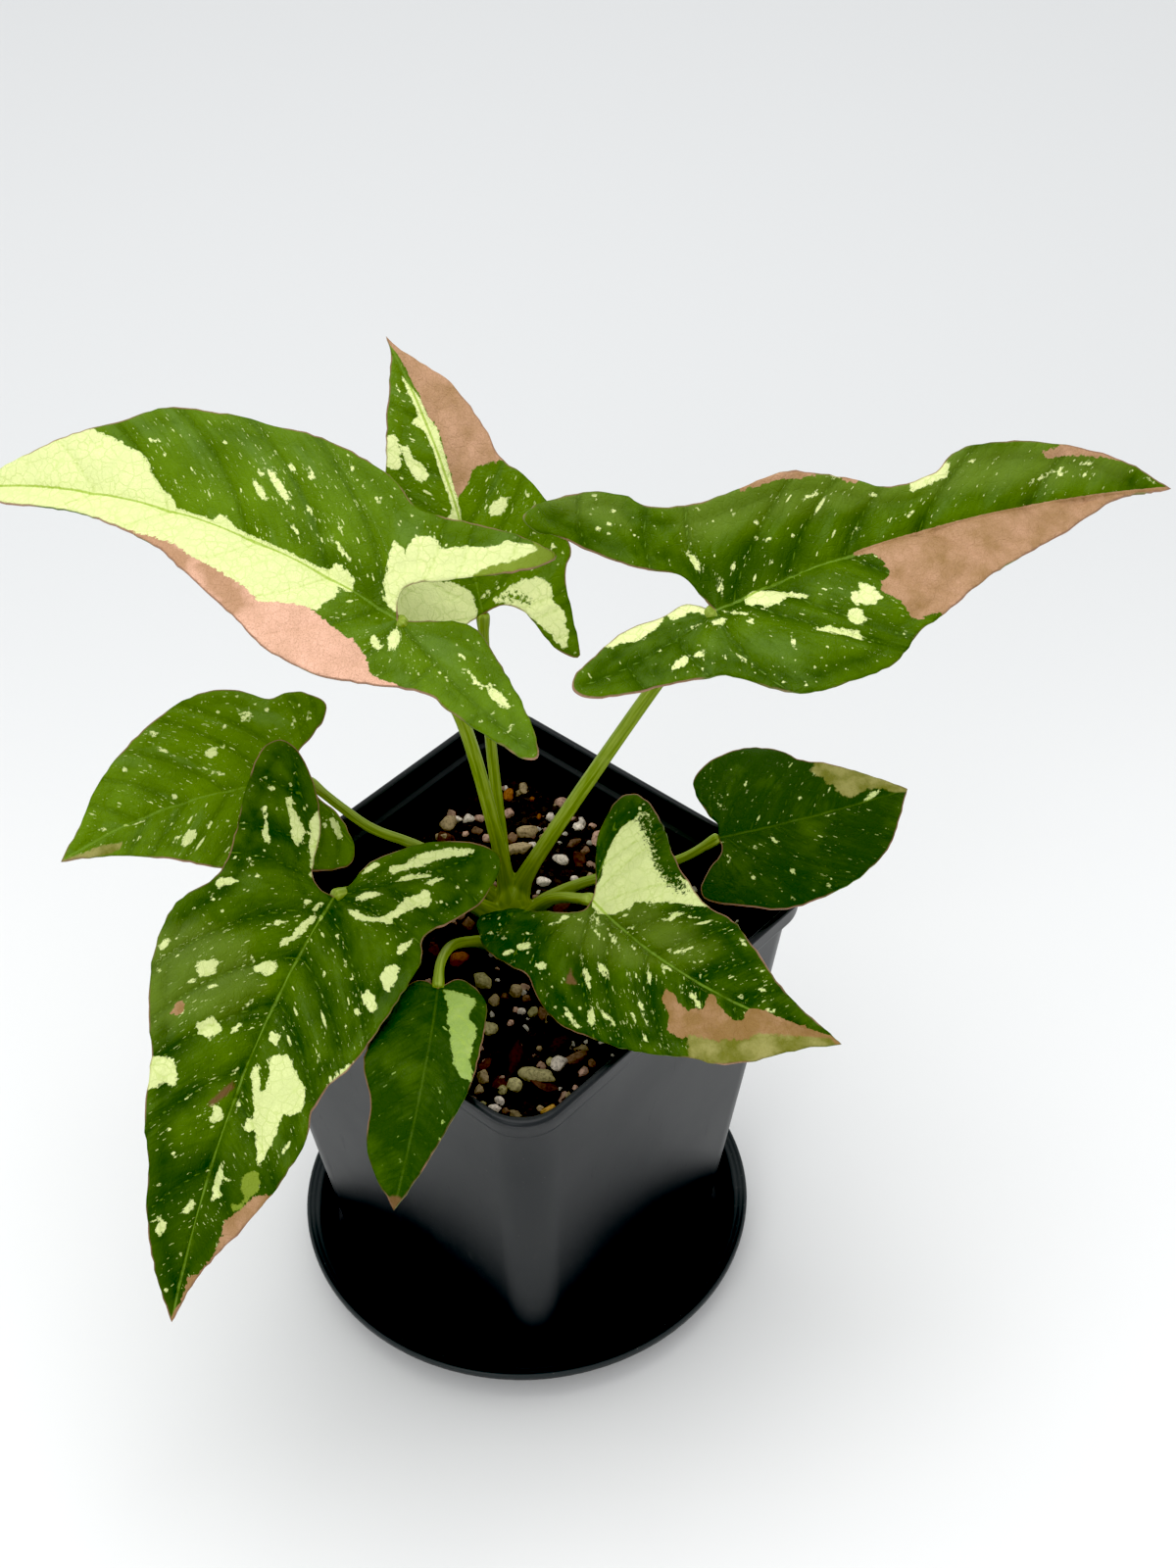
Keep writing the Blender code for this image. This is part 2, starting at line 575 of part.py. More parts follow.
def main():
    clear_scene()
    plant = collection("arrowhead_plant")
    cutters = collection("cutters")
    pieces = collection("stem_pieces")
    make_saucer(plant)
    make_pot(plant, cutters)
    make_soil(plant, cutters)
    blades = {name: make_blade(name, blade, plant) for name, blade in BLADES.items()}
    bpy.context.view_layer.update()
    make_stem(blades, plant, pieces)
    bpy.data.collections.remove(pieces)


main()
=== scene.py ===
# %% [markdown]
# An arrowhead plant with variegated leaves, in a square nursery pot on a saucer.
#
# The solids of the plant already exist as a fixed frame. Here each of them gets the surface
# that a close look shows: veins and quilting on the blades, cream and pink markings, crumbs
# of soil, and the soft gloss of black plastic. Sizes are written in millimetres, which the
# helper for meshes turns into metres. Only the camera and the lamps are placed in metres.

from math import cos, pi, radians, sin

import bmesh
import bpy
import numpy as np
from mathutils import Matrix, Vector
from mathutils.geometry import delaunay_2d_cdt
from mathutils.noise import noise as noise_at


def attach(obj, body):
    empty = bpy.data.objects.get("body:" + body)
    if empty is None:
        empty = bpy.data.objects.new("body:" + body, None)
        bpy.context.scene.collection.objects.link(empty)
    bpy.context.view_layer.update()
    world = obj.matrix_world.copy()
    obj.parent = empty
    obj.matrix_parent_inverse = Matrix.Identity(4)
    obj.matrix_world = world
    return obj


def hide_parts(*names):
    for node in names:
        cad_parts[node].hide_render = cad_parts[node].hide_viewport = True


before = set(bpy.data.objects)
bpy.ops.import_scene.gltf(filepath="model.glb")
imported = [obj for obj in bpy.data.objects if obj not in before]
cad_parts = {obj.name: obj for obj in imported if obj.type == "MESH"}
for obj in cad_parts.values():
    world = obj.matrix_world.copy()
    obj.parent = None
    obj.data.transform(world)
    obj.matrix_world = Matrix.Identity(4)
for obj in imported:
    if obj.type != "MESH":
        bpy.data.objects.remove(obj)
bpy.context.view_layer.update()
scene = bpy.context.scene
MM = 0.001
print("nodes:", ", ".join(sorted(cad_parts)))

# %% [markdown]
# The camera looks down on the plant from the front at about 42 degrees. Its place is given by
# a point and three directions, which make the columns of its matrix.

# %% Camera
CAMERA_PLACE = Vector((0.0, -0.3914, 0.5056))
CAMERA_PITCH = radians(42.25)
CAMERA_YAW = radians(2.58)
CAMERA_ROLL = radians(-1.07)
FOCAL_LENGTH = 55.64
SENSOR_WIDTH = 36.0

ahead = Vector((sin(CAMERA_YAW) * cos(CAMERA_PITCH),
                cos(CAMERA_YAW) * cos(CAMERA_PITCH),
                -sin(CAMERA_PITCH)))
right = Vector((cos(CAMERA_YAW), -sin(CAMERA_YAW), 0.0))
above = right.cross(ahead)
tilted_right = cos(CAMERA_ROLL) * right + sin(CAMERA_ROLL) * above
tilted_above = cos(CAMERA_ROLL) * above - sin(CAMERA_ROLL) * right

camera = bpy.data.objects.new("camera", bpy.data.cameras.new("camera"))
scene.collection.objects.link(camera)
camera.data.lens = FOCAL_LENGTH
camera.data.sensor_width = SENSOR_WIDTH
camera.data.clip_start = 0.01
turn_matrix = Matrix((tilted_right, tilted_above, -ahead)).transposed().to_4x4()
camera.matrix_world = Matrix.Translation(CAMERA_PLACE) @ turn_matrix
scene.camera = camera
print("camera at", tuple(round(c, 3) for c in CAMERA_PLACE), "lens", FOCAL_LENGTH)

# %% [markdown]
# Every material is a small tree of nodes. These helpers keep such a tree readable: they add a
# node with its inputs, do arithmetic, mix two colours, step softly, make noise, and read what
# a mesh stores with its points.


# %% Helpers for materials
def add_node(tree, kind, inputs=None, **settings):
    """A new node; an input's value is a number, a colour or another node's output."""
    new = tree.nodes.new(kind)
    for name, value in settings.items():
        setattr(new, name, value)
    for name, value in (inputs or {}).items():
        if isinstance(value, bpy.types.NodeSocket):
            tree.links.new(value, new.inputs[name])
        else:
            new.inputs[name].default_value = value
    return new


def calc(tree, operation, *values, clamp=False):
    inputs = dict(enumerate(values))
    return add_node(tree, "ShaderNodeMath", inputs, operation=operation, use_clamp=clamp).outputs[0]


def plus(tree, first, second, clamp=False):
    return calc(tree, "ADD", first, second, clamp=clamp)


def times(tree, first, second):
    return calc(tree, "MULTIPLY", first, second)


def adjust(tree, value, factor, shift):
    """The value times a factor, and then moved by a shift."""
    return calc(tree, "MULTIPLY_ADD", value, factor, shift)


def calc_vector(tree, operation, first, second):
    """Arithmetic on vectors. To SCALE one, the second value is a number."""
    key = "Scale" if operation == "SCALE" else 1
    return add_node(tree, "ShaderNodeVectorMath", {0: first, key: second}, operation=operation).outputs[0]


def stretch(tree, vector, factors):
    return add_node(tree, "ShaderNodeMapping", {"Vector": vector, "Scale": factors}).outputs[0]


def split(tree, vector):
    return add_node(tree, "ShaderNodeSeparateXYZ", {"Vector": vector}).outputs


def blend_colors(tree, share, first, second):
    new = tree.nodes.new("ShaderNodeMix")
    new.data_type = "RGBA"
    for index, value in ((0, share), (6, first), (7, second)):
        if isinstance(value, bpy.types.NodeSocket):
            tree.links.new(value, new.inputs[index])
        else:
            new.inputs[index].default_value = value
    return new.outputs[2]


def step_up(tree, value, low, high):
    """0 at low, 1 at high, and a soft step between; low may also be the larger of the two."""
    new = add_node(tree, "ShaderNodeMapRange", {"Value": value, "From Min": low, "From Max": high})
    new.interpolation_type = "SMOOTHSTEP"
    return new.outputs["Result"]


def noise(tree, vector, scale, detail=3.0, rough=0.5, output="Fac"):
    inputs = {"Vector": vector, "Scale": scale, "Detail": detail, "Roughness": rough}
    return add_node(tree, "ShaderNodeTexNoise", inputs).outputs[output]


def attribute(tree, name, output="Fac"):
    return add_node(tree, "ShaderNodeAttribute", attribute_name=name).outputs[output]


def object_mm(tree):
    """Object coordinates, in millimetres."""
    place = add_node(tree, "ShaderNodeTexCoord").outputs["Object"]
    return calc_vector(tree, "SCALE", place, 1000.0)


def new_material(name, **shader_values):
    mat = bpy.data.materials.new(name)
    mat.use_nodes = True
    shader = mat.node_tree.nodes["Principled BSDF"]
    for key, value in shader_values.items():
        shader.inputs[key.replace("_", " ")].default_value = value
    return mat, mat.node_tree, shader


def hook(tree, output, shader, name):
    tree.links.new(output, shader.inputs[name])


def bump(tree, shader, height, strength, distance_mm):
    inputs = {"Height": height, "Strength": strength, "Distance": distance_mm * MM}
    hook(tree, add_node(tree, "ShaderNodeBump", inputs).outputs["Normal"], shader, "Normal")


# %% [markdown]
# A mesh is made from points in millimetres and lists of faces. The object stays at the origin,
# unturned and unscaled, so its place is in its mesh and the patterns stay where they are.


# %% Helpers for meshes
def mesh_object(name, points, faces, materials, smooth=True):
    mesh = bpy.data.meshes.new(name)
    mesh.from_pydata((np.asarray(points, float) * MM).tolist(), [], [list(map(int, f)) for f in faces])
    mesh.validate()
    mesh.update()
    if smooth:
        mesh.shade_smooth()
    for mat in materials:
        mesh.materials.append(mat)
    obj = bpy.data.objects.new(name, mesh)
    scene.collection.objects.link(obj)
    return obj


def shifted(faces, start):
    """The same faces when their points follow others in one list."""
    return [tuple(i + start for i in face) for face in faces]


def store(mesh, name, values):
    """Keep a number, or a vector, with each point of a mesh."""
    kind, key = ("FLOAT", "value") if np.ndim(values) == 1 else ("FLOAT_VECTOR", "vector")
    mesh.attributes.new(name, kind, "POINT").data.foreach_set(key, np.ravel(values))


def baked(obj):
    """Replace an object's mesh by its evaluated one and drop its modifiers."""
    bpy.context.view_layer.update()
    mesh = bpy.data.meshes.new_from_object(obj.evaluated_get(bpy.context.evaluated_depsgraph_get()))
    obj.modifiers.clear()
    obj.data = mesh
    return obj


def dress(obj, slot, *nodes):
    """Let a piece stand for its CAD nodes, on the one body that the plant has."""
    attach(obj, "root")
    if nodes:
        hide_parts(*nodes)
    triangles = sum(len(p.vertices) - 2 for p in obj.data.polygons)
    print(obj.name, "stands for", ", ".join(nodes) or "nothing", "-", triangles, "triangles")


# %% [markdown]
# The plant stands on a plain white surface in soft light from all round, as in a light tent.
# A pale world gives most of it. A broad lamp overhead makes the gentle highlights on the
# blades and the faint shadow under the saucer, and a second from the front left lifts the pot.
# The floor's colour turns greyer towards the back, as painted shade where less light reaches.

# %% Floor and light
FLOOR_HALF = 1500.0
FLOOR_DIM = (0.85, 0.86, 0.865, 1.0)
FLOOR_BRIGHT = (0.90, 0.90, 0.895, 1.0)
FLOOR_FAR_SHADE = (0.71, 0.72, 0.725, 1.0)
WORLD_COLOR = (0.985, 0.993, 1.0, 1.0)
WORLD_STRENGTH = 0.90
LAMP_TARGET = (0.0, 0.0, 0.1)

scene.view_settings.view_transform = "Standard"
scene.view_settings.use_curve_mapping = True
scene.view_settings.curve_mapping.black_level = (0.020, 0.020, 0.020)
scene.view_settings.curve_mapping.update()

floor_material, tree, shader = new_material("white_floor", Roughness=0.55)
mottle = noise(tree, object_mm(tree), 0.004, 4.0)
tint = blend_colors(tree, mottle, FLOOR_DIM, FLOOR_BRIGHT)
# Painted shade: the floor turns greyer towards the back, where less light reaches it.
far_shade = step_up(tree, split(tree, object_mm(tree))[1], -60.0, 330.0)
hook(tree, blend_colors(tree, far_shade, tint, FLOOR_FAR_SHADE), shader, "Base Color")
floor_corners = [(x * FLOOR_HALF, y * FLOOR_HALF, 0) for x, y in ((-1, -1), (1, -1), (1, 1), (-1, 1))]
floor = mesh_object("floor", floor_corners, [(0, 1, 2, 3)], [floor_material], smooth=False)

world = bpy.data.worlds.new("soft_light")
scene.world = world
world.use_nodes = True
world.node_tree.nodes["Background"].inputs["Color"].default_value = WORLD_COLOR
world.node_tree.nodes["Background"].inputs["Strength"].default_value = WORLD_STRENGTH


def soft_lamp(name, place, size, power):
    data = bpy.data.lights.new(name, "AREA")
    data.shape = "DISK"
    data.size = size
    data.energy = power
    lamp = bpy.data.objects.new(name, data)
    scene.collection.objects.link(lamp)
    lamp.location = place
    lamp.rotation_euler = (Vector(LAMP_TARGET) - Vector(place)).to_track_quat("-Z", "Y").to_euler()


soft_lamp("overhead", (-0.08, 0.10, 1.0), 0.8, 3.6)
soft_lamp("front_left", (-0.5, -0.9, 0.8), 0.6, 2.0)

# %% [markdown]
# Most outlines of a leaf or a stem are smooth curves through a few chosen points. The first
# helper draws a curve through all of them, the same in the solids and here. The others turn
# points about an axis, make level rings of points, and join rings into a shell.


# %% Curves and turns
def smooth_path(points, steps):
    """A curve through all the points, with the same number of steps between each two."""
    p = [np.array(q, float) for q in points]
    p = [2 * p[0] - p[1]] + p + [2 * p[-1] - p[-2]]
    path = []
    for a, b, c, d in zip(p, p[1:], p[2:], p[3:]):
        for t in np.arange(steps) / steps:
            bend = (2 * a - 5 * b + 4 * c - d) * t ** 2 + (3 * b - a - 3 * c + d) * t ** 3
            path.append(0.5 * (2 * b + (c - a) * t + bend))
    path.append(p[-2])
    return np.array(path)


def turn(axis, angle):
    """Rotation matrices about x, y or z for an array of angles in radians."""
    c, s = np.cos(angle), np.sin(angle)
    o, z = np.ones_like(c), np.zeros_like(c)
    rows = {
        "x": [[o, z, z], [z, c, -s], [z, s, c]],
        "y": [[c, z, s], [z, o, z], [-s, z, c]],
        "z": [[c, -s, z], [s, c, z], [z, z, o]],
    }[axis]
    return np.moveaxis(np.array(rows), (0, 1), (-2, -1))


def circle(radius, height, sides, centre=(0.0, 0.0)):
    """A level ring of points."""
    angles = np.linspace(0, 2 * pi, sides, endpoint=False)
    x = centre[0] + radius * np.cos(angles)
    y = centre[1] + radius * np.sin(angles)
    return np.column_stack([x, y, np.full(sides, float(height))])


def ring_bands(rings, close_first=True, close_last=True):
    """Points and faces of a shell that joins rings of equal count, one after another."""
    count = len(rings[0])
    points = np.vstack(rings)
    faces = []
    for r in range(len(rings) - 1):
        for i in range(count):
            j = (i + 1) % count
            faces.append((r * count + i, r * count + j, (r + 1) * count + j, (r + 1) * count + i))
    if close_first:
        faces.append(tuple(range(count))[::-1])
    if close_last:
        faces.append(tuple(range((len(rings) - 1) * count, len(rings) * count)))
    return points, faces


print("a path through 3 points:", smooth_path([(0, 0), (1, 1), (2, 0)], 2).round(2).tolist())

# %% [markdown]
# Black plastic is never one flat black. A nursery pot is satin and shows fine scuffs and dust,
# so its roughness and its colour drift a little over the surface. The saucer's rim is painted
# paler than the rest: painted light on the lit rim above the shaded inside. Object coordinates
# carry the pattern, because they need no unwrapping.

# %% Black plastic
RIM_LIGHT_PLASTIC = (0.026, 0.031, 0.032, 1.0)
PLASTIC_DUST = (0.30, 0.29, 0.27, 1.0)
NO_RIM_LIGHT = 1000.0
SAUCER_RIM_LIT_ABOVE = 8.9


def black_plastic(name, tone, gloss, dust, rim_lit_above):
    mat, tree, shader = new_material(name, IOR=1.5, Specular_IOR_Level=0.25)
    place = object_mm(tree)
    cloud = noise(tree, place, 0.035, 4.0, 0.6)
    scuffs = step_up(tree, noise(tree, stretch(tree, place, (1.0, 1.0, 0.12)), 0.5, 5.0, 0.7), 0.60, 0.72)
    specks = step_up(tree, noise(tree, place, 1.9, 2.0, 0.5), 0.735, 0.78)
    share = plus(tree, times(tree, specks, dust), times(tree, scuffs, 0.05), clamp=True)
    base = blend_colors(tree, cloud, tone, tuple(1.5 * c for c in tone[:3]) + (1.0,))
    # Painted light: above the given height the colour turns paler, for the light on the saucer's rim over
    # its shaded inside.
    painted_rim_light = step_up(tree, split(tree, place)[2], rim_lit_above, rim_lit_above + 0.8)
    base = blend_colors(tree, painted_rim_light, base, RIM_LIGHT_PLASTIC)
    hook(tree, blend_colors(tree, share, base, PLASTIC_DUST), shader, "Base Color")
    rough = adjust(tree, cloud, 0.16, gloss - 0.08)
    hook(tree, adjust(tree, scuffs, 0.12, rough), shader, "Roughness")
    bump(tree, shader, noise(tree, place, 2.4, 3.0, 0.6), 0.10, 0.08)
    return mat


pot_plastic = black_plastic("pot_plastic", (0.012, 0.0135, 0.0145, 1.0), 0.34, 0.25, NO_RIM_LIGHT)
saucer_plastic = black_plastic("saucer_plastic", (0.007, 0.008, 0.009, 1.0), 0.36, 0.5, SAUCER_RIM_LIT_ABOVE)
print("plastics:", pot_plastic.name, saucer_plastic.name)

# %% [markdown]
# The saucer is a shallow turned dish. Its profile is a list of radius and height, and a ring
# of points for each of them, all round the axis, makes the shell. The rim is a soft band in
# two low steps, as thin sheet has where it was stiffened.

# %% Saucer
SAUCER_SIDES = 192
SAUCER_PROFILE = [
    (0.6, 2.0), (30.0, 2.0), (48.6, 2.0), (49.6, 2.25), (50.6, 3.1), (52.2, 8.6), (52.55, 9.1), (53.0, 9.42),
    (53.4, 9.58), (53.8, 9.64), (54.1, 9.7), (54.4, 9.86), (54.75, 10.0), (55.05, 10.04), (55.3, 10.12),
    (55.55, 10.28), (55.85, 10.38), (56.1, 10.3), (56.3, 10.05), (56.4, 9.6), (56.3, 8.7), (55.8, 7.9),
    (51.2, 1.0), (50.6, 0.3), (49.9, 0.0), (30.0, 0.0), (0.6, 0.0),
]
saucer_rings = [circle(radius, height, SAUCER_SIDES) for radius, height in SAUCER_PROFILE]
points, faces = ring_bands(saucer_rings[::-1])
saucer = mesh_object("saucer_dish", points, faces, [saucer_plastic])
dress(saucer, "saucer", "saucer")

# %% [markdown]
# The pot is a tapered square with round corners. Its rings follow the wall from the foot up
# the outside, over the thin lip and down the inside to the floor. The lip bulges, the collar
# under it stands proud, and a small step inside the rim lets such pots stack.

# %% Pot
POT_TURN = 45.3
POT_CORNER_STEPS = 14
FOOT_HALF, FOOT_CORNER = 36.0, 9.0
RIM_HALF, RIM_CORNER = 50.0, 10.5
INNER_FLOOR, INNER_FLOOR_HALF = 3.6, 34.7
INNER_STEP, INNER_STEP_HALF = 108.6, 46.2


def corner_radius(half_width):
    share = (half_width - FOOT_HALF) / (RIM_HALF - FOOT_HALF)
    return FOOT_CORNER + share * (RIM_CORNER - FOOT_CORNER)


def wall_inside(height):
    """Half width of the pot's inside at a height below its step."""
    share = (height - INNER_FLOOR) / (INNER_STEP - INNER_FLOOR)
    return INNER_FLOOR_HALF + (INNER_STEP_HALF - INNER_FLOOR_HALF) * share


def rounded_square(half_width, height):
    """A level ring of the pot: four sides and four round corners."""
    corner = corner_radius(half_width)
    points = []
    for quarter in range(4):
        spin = radians(POT_TURN + 90 * quarter)
        for i in range(POT_CORNER_STEPS + 1):
            angle = pi / 2 * i / POT_CORNER_STEPS
            x = half_width - corner + corner * cos(angle)
            y = half_width - corner + corner * sin(angle)
            points.append((x * cos(spin) - y * sin(spin), x * sin(spin) + y * cos(spin), height))
    return np.array(points)


POT_PROFILE = [
    (34.0, 2.3), (34.9, 2.35), (35.6, 2.7), (35.95, 3.3), (36.0, 3.9), (38.0, 22.0), (41.8, 56.0),
    (45.5, 90.0), (47.45, 108.4), (47.6, 109.0), (48.0, 109.35), (48.9, 109.6), (49.25, 110.0),
    (49.35, 110.5), (49.65, 113.9), (49.8, 114.2), (50.0, 114.6), (50.0, 115.0), (49.8, 115.35),
    (49.45, 115.55), (49.0, 115.6), (48.6, 115.5), (48.25, 115.2), (48.1, 114.7), (47.9, 112.0),
    (47.7, 109.6), (47.4, 109.15), (46.7, 108.85), (46.3, 108.5),
    (wall_inside(100.0), 100.0), (wall_inside(60.0), 60.0), (wall_inside(20.0), 20.0),
    (34.8, 4.6), (34.0, 3.7), (33.0, INNER_FLOOR),
]
points, faces = ring_bands([rounded_square(half_width, height) for half_width, height in POT_PROFILE])
pot = mesh_object("pot_shell", points, faces, [pot_plastic])
print("the pot's shell has", len(POT_PROFILE), "rings of", 4 * (POT_CORNER_STEPS + 1), "points")

# %% [markdown]
# Water leaves through five round holes in the pot's floor. Each is cut by a Boolean with a
# short bar, which is removed again once the cut is part of the mesh.

# %% Drain holes
DRAIN_RING = 22.0
DRAIN_RADIUS = 4.0
DRAIN_SIDES = 24
BAR_ENDS = (1.0, 6.0)
SHARP_ABOVE = radians(50)

drain_ways = [radians(POT_TURN + 45 + 90 * quarter) for quarter in range(4)]
drain_spots = [(0.0, 0.0)] + [(DRAIN_RING * cos(way), DRAIN_RING * sin(way)) for way in drain_ways]
for spot in drain_spots:
    points, faces = ring_bands([circle(DRAIN_RADIUS, height, DRAIN_SIDES, spot) for height in BAR_ENDS])
    bar = mesh_object("drain_bar", points, faces, [pot_plastic])
    cut = pot.modifiers.new("drain", "BOOLEAN")
    cut.operation = "DIFFERENCE"
    cut.solver = "EXACT"
    cut.object = bar
    baked(pot)
    bpy.data.objects.remove(bar, do_unlink=True)
pot.data.set_sharp_from_angle(angle=SHARP_ABOVE)
dress(pot, "pot", "pot")

# %% [markdown]
# The blades. Each lies flat in its own coordinates first: x runs along the midrib from the
# joint with its stalk to the tip, and y to the left. The outline is a few points from the
# joint round a lobe to the tip, one list for each half. The points were taken one by one from a
# picture of the plant and carried into the flat blade, to about half a millimetre. The pose
# then bends the blade: it rises, rolls, arches along the midrib, folds along it and curls its
# lobes. A pair of values is for the left and the right half.

# %% Blade shapes
BLADES = {
    "leaf_upper_left": {
        "joint": (-20.6, -2.0, 199.1), "length": 113.0, "half_width": 27.0,
        "heading": 149, "rise": 22, "roll": -18, "arch": -40, "bend": 19, "twist": 0,
        "fold": (14, 28), "curl": (-20, -20), "lobe": (20, 30),
        "wave": (0.0, 0.0), "wave_length": 50.0, "wave_phase": (0, 0),
        "left": [(-11.5, -8.5), (-21, -5), (-33, 3), (-41, 11), (-38.5, 13.5), (-32.5, 12.8), (-20.5, 12),
                 (-13, 11.5), (4, 20), (17, 21.5), (29.5, 18), (44.5, 13), (54, 9.5), (75, 6), (96, 5.2)],
        "right": [(2.5, -4), (1.5, -8), (-3.5, -12), (-16, -22.5), (-19.5, -28), (-10, -28), (0, -24.5),
                  (9, -21.5), (16.5, -24.5), (30.5, -25.5), (41, -24), (51, -23), (63, -21),
                  (72.5, -16), (84.5, -11), (100, -3.8)],
    },
    "leaf_back": {
        "joint": (-3.4, 20.0, 182.3), "length": 64.5, "half_width": 21.0,
        "heading": 103, "rise": 50, "roll": -4, "arch": -14, "bend": 15, "twist": 0,
        "fold": (16, 16), "curl": (-20, -20), "lobe": (35, 0),
        "wave": (0.0, 0.0), "wave_length": 30.0, "wave_phase": (0, 0),
        "left": [(-2, 5), (-6, 10), (-11, 15), (-13, 19), (-9, 21), (3, 20.5), (14, 20), (24, 16.5),
                 (37.5, 11.5), (47.5, 7.5), (60, 1)],
        "right": [(1, -4.5), (-1.5, -9), (-9.5, -13.5), (-13, -18), (-10, -19), (4, -19), (10.5, -21.5),
                  (23.5, -17.5), (30.5, -12.5), (37, -11.5), (47, -9), (53, -6), (60, -1.5)],
    },
    "leaf_right": {
        "joint": (44.3, -2.0, 197.8), "length": 103.0, "half_width": 26.0,
        "heading": 17, "rise": 15, "roll": 16, "arch": -19, "bend": -12, "twist": 13,
        "fold": (26, 10), "curl": (10, -20), "lobe": (60, 30),
        "wave": (3.5, 2.0), "wave_length": 55.0, "wave_phase": (-41, 60),
        "left": [(-1.5, 4.5), (-3.5, 10), (-9.5, 13.5), (-23, 21), (-30.5, 21.5), (-32, 24), (-24.5, 29),
                 (-13, 34), (-6.5, 31.5), (-3, 26.5), (6, 21.5), (15.5, 20), (24.5, 19.5), (35.5, 15),
                 (42, 11.5), (51.5, 11.5), (59, 15), (75, 12.5), (91, 7.5)],
        "right": [(-4.5, 4.5), (-10.5, 4), (-19, 3.5), (-27.5, -1), (-34, -5.5), (-35, -9.5), (-31, -11.5),
                  (-18, -12.5), (-10, -14), (-4.5, -16), (1.5, -22.5), (8.5, -27), (19, -27),
                  (29.5, -25.5), (37.5, -21), (43, -19.5), (57.5, -13.5), (73, -8.5), (83.5, -4),
                  (91.5, -0.8)],
    },
    "leaf_small_right": {
        "joint": (47.6, 8.0, 123.9), "length": 46.5, "half_width": 22.0,
        "heading": 4, "rise": 8, "roll": 14, "arch": -14, "bend": 16, "twist": 0,
        "fold": (8, 8), "curl": (-16, -16), "lobe": (8, 8),
        "wave": (0.8, 0.8), "wave_length": 26.0, "wave_phase": (0, 90),
        "left": [(0.5, 3.5), (-1.5, 7.5), (-3, 15), (0, 19.5), (6, 21.5), (14.5, 22.5), (21, 20),
                 (25, 15.5), (31.5, 12), (38, 7.5), (44, 2.5)],
        "right": [(0, -4), (-3.5, -8), (-6, -11.5), (-6.5, -15), (-3, -17.5), (2.5, -19.5), (9, -21.5),
                  (19, -21), (26.5, -19), (34.5, -14), (39, -9), (43.5, -3.5)],
    },
    "leaf_centre": {
        "joint": (17.3, -16.0, 130.0), "length": 68.0, "half_width": 23.0,
        "heading": -60, "rise": 0, "roll": 28, "arch": -14, "bend": 30, "twist": 12,
        "fold": (14, 14), "curl": (-20, -20), "lobe": (12, 12),
        "wave": (1.2, 1.2), "wave_length": 34.0, "wave_phase": (0, 120),
        "left": [(-1.5, 2.5), (-10, 10.5), (-13.5, 18), (-13, 22.5), (-8.5, 24), (-0.5, 22.5), (14, 18),
                 (25.5, 15), (34, 15), (42.5, 12), (51.5, 7), (61, 3)],
        "right": [(0.5, -4), (-7.5, -11.5), (-11.5, -14.5), (-16, -20.5), (-14.5, -23), (-7.5, -24.5),
                  (0, -23), (3.5, -21.5), (7, -23), (13.5, -24.5), (20.5, -23), (30, -20), (41, -15),
                  (46.5, -13.5), (53, -9.5), (61, -3.5)],
    },
    "leaf_small_front": {
        "joint": (-16.9, -35.3, 125.0), "length": 50.0, "half_width": 12.0,
        "heading": -97, "rise": -6, "roll": -3, "arch": -32, "bend": -11, "twist": 0,
        "fold": (8, 8), "curl": (-14, -14), "lobe": (8, 8),
        "wave": (0.6, 0.6), "wave_length": 22.0, "wave_phase": (0, 120),
        "left": [(-2.5, 4), (-0.5, 8), (4.5, 11), (12.5, 11), (22.5, 10), (30.5, 7.5), (41, 4)],
        "right": [(-1.5, -3), (-0.2, -6), (7, -10), (19.5, -13), (28.5, -10), (36.5, -9), (43, -6)],
    },
    "leaf_front_left": {
        "joint": (-38.6, -16.0, 134.9), "length": 97.7, "half_width": 26.0,
        "heading": -119, "rise": -9, "roll": -13, "arch": -40, "bend": 16, "twist": 0,
        "fold": (16, 26), "curl": (-18, -18), "lobe": (15, 45),
        "wave": (1.5, 1.5), "wave_length": 40.0, "wave_phase": (30, 200),
        "left": [(-4, 1.5), (-11, 3), (-18.5, 10), (-23.5, 19), (-24.5, 26), (-22.5, 29), (-14, 29),
                 (-6, 26), (1.5, 22.5), (9, 25), (25.5, 23), (35, 21), (42, 18), (47.5, 17),
                 (55.5, 17.5), (70.5, 12.5), (87, 3.5)],
        "right": [(0.5, -3.5), (-1.5, -7), (-10, -10), (-16.5, -14.5), (-21, -20), (-23, -24),
                  (-22.5, -27.5), (-18, -29.5), (-8, -28), (8, -24), (18.5, -28), (28, -27.5),
                  (38, -24.5), (48, -19.5), (57.5, -17), (68, -12.5), (77.5, -10), (88, -5.5)],
    },
    "leaf_back_left": {
        "joint": (-44.7, 16.8, 139.5), "length": 58.3, "half_width": 22.5,
        "heading": 191, "rise": 11, "roll": -22, "arch": -26, "bend": 24, "twist": 0,
        "fold": (13, 13), "curl": (-12, -12), "lobe": (5, 5),
        "wave": (0.8, 0.8), "wave_length": 30.0, "wave_phase": (0, 120),
        "left": [(-2, 5.5), (-5.5, 9.5), (-8, 18.5), (-5, 23), (7.5, 23.5), (25, 18.5), (35, 13),
                 (45.5, 6.5)],
        "right": [(1.5, -3), (1.5, -7), (-2.5, -11.5), (-5, -15), (-5.5, -18.5), (-1.5, -21), (2.5, -21.5),
                  (6.5, -20.5), (12, -24), (18, -24.5), (26, -21.5), (34, -17.5), (43.5, -11.5), (50.5, -5)],
    },
}
print(len(BLADES), "blades, lengths in mm:", [b["length"] for b in BLADES.values()])

# %% [markdown]
# These functions bend flat coordinates into the blade's place. The midrib is walked station by
# station, turning a little at each, and every other point leaves it sideways at the fold angle
# or backwards into the lobes.

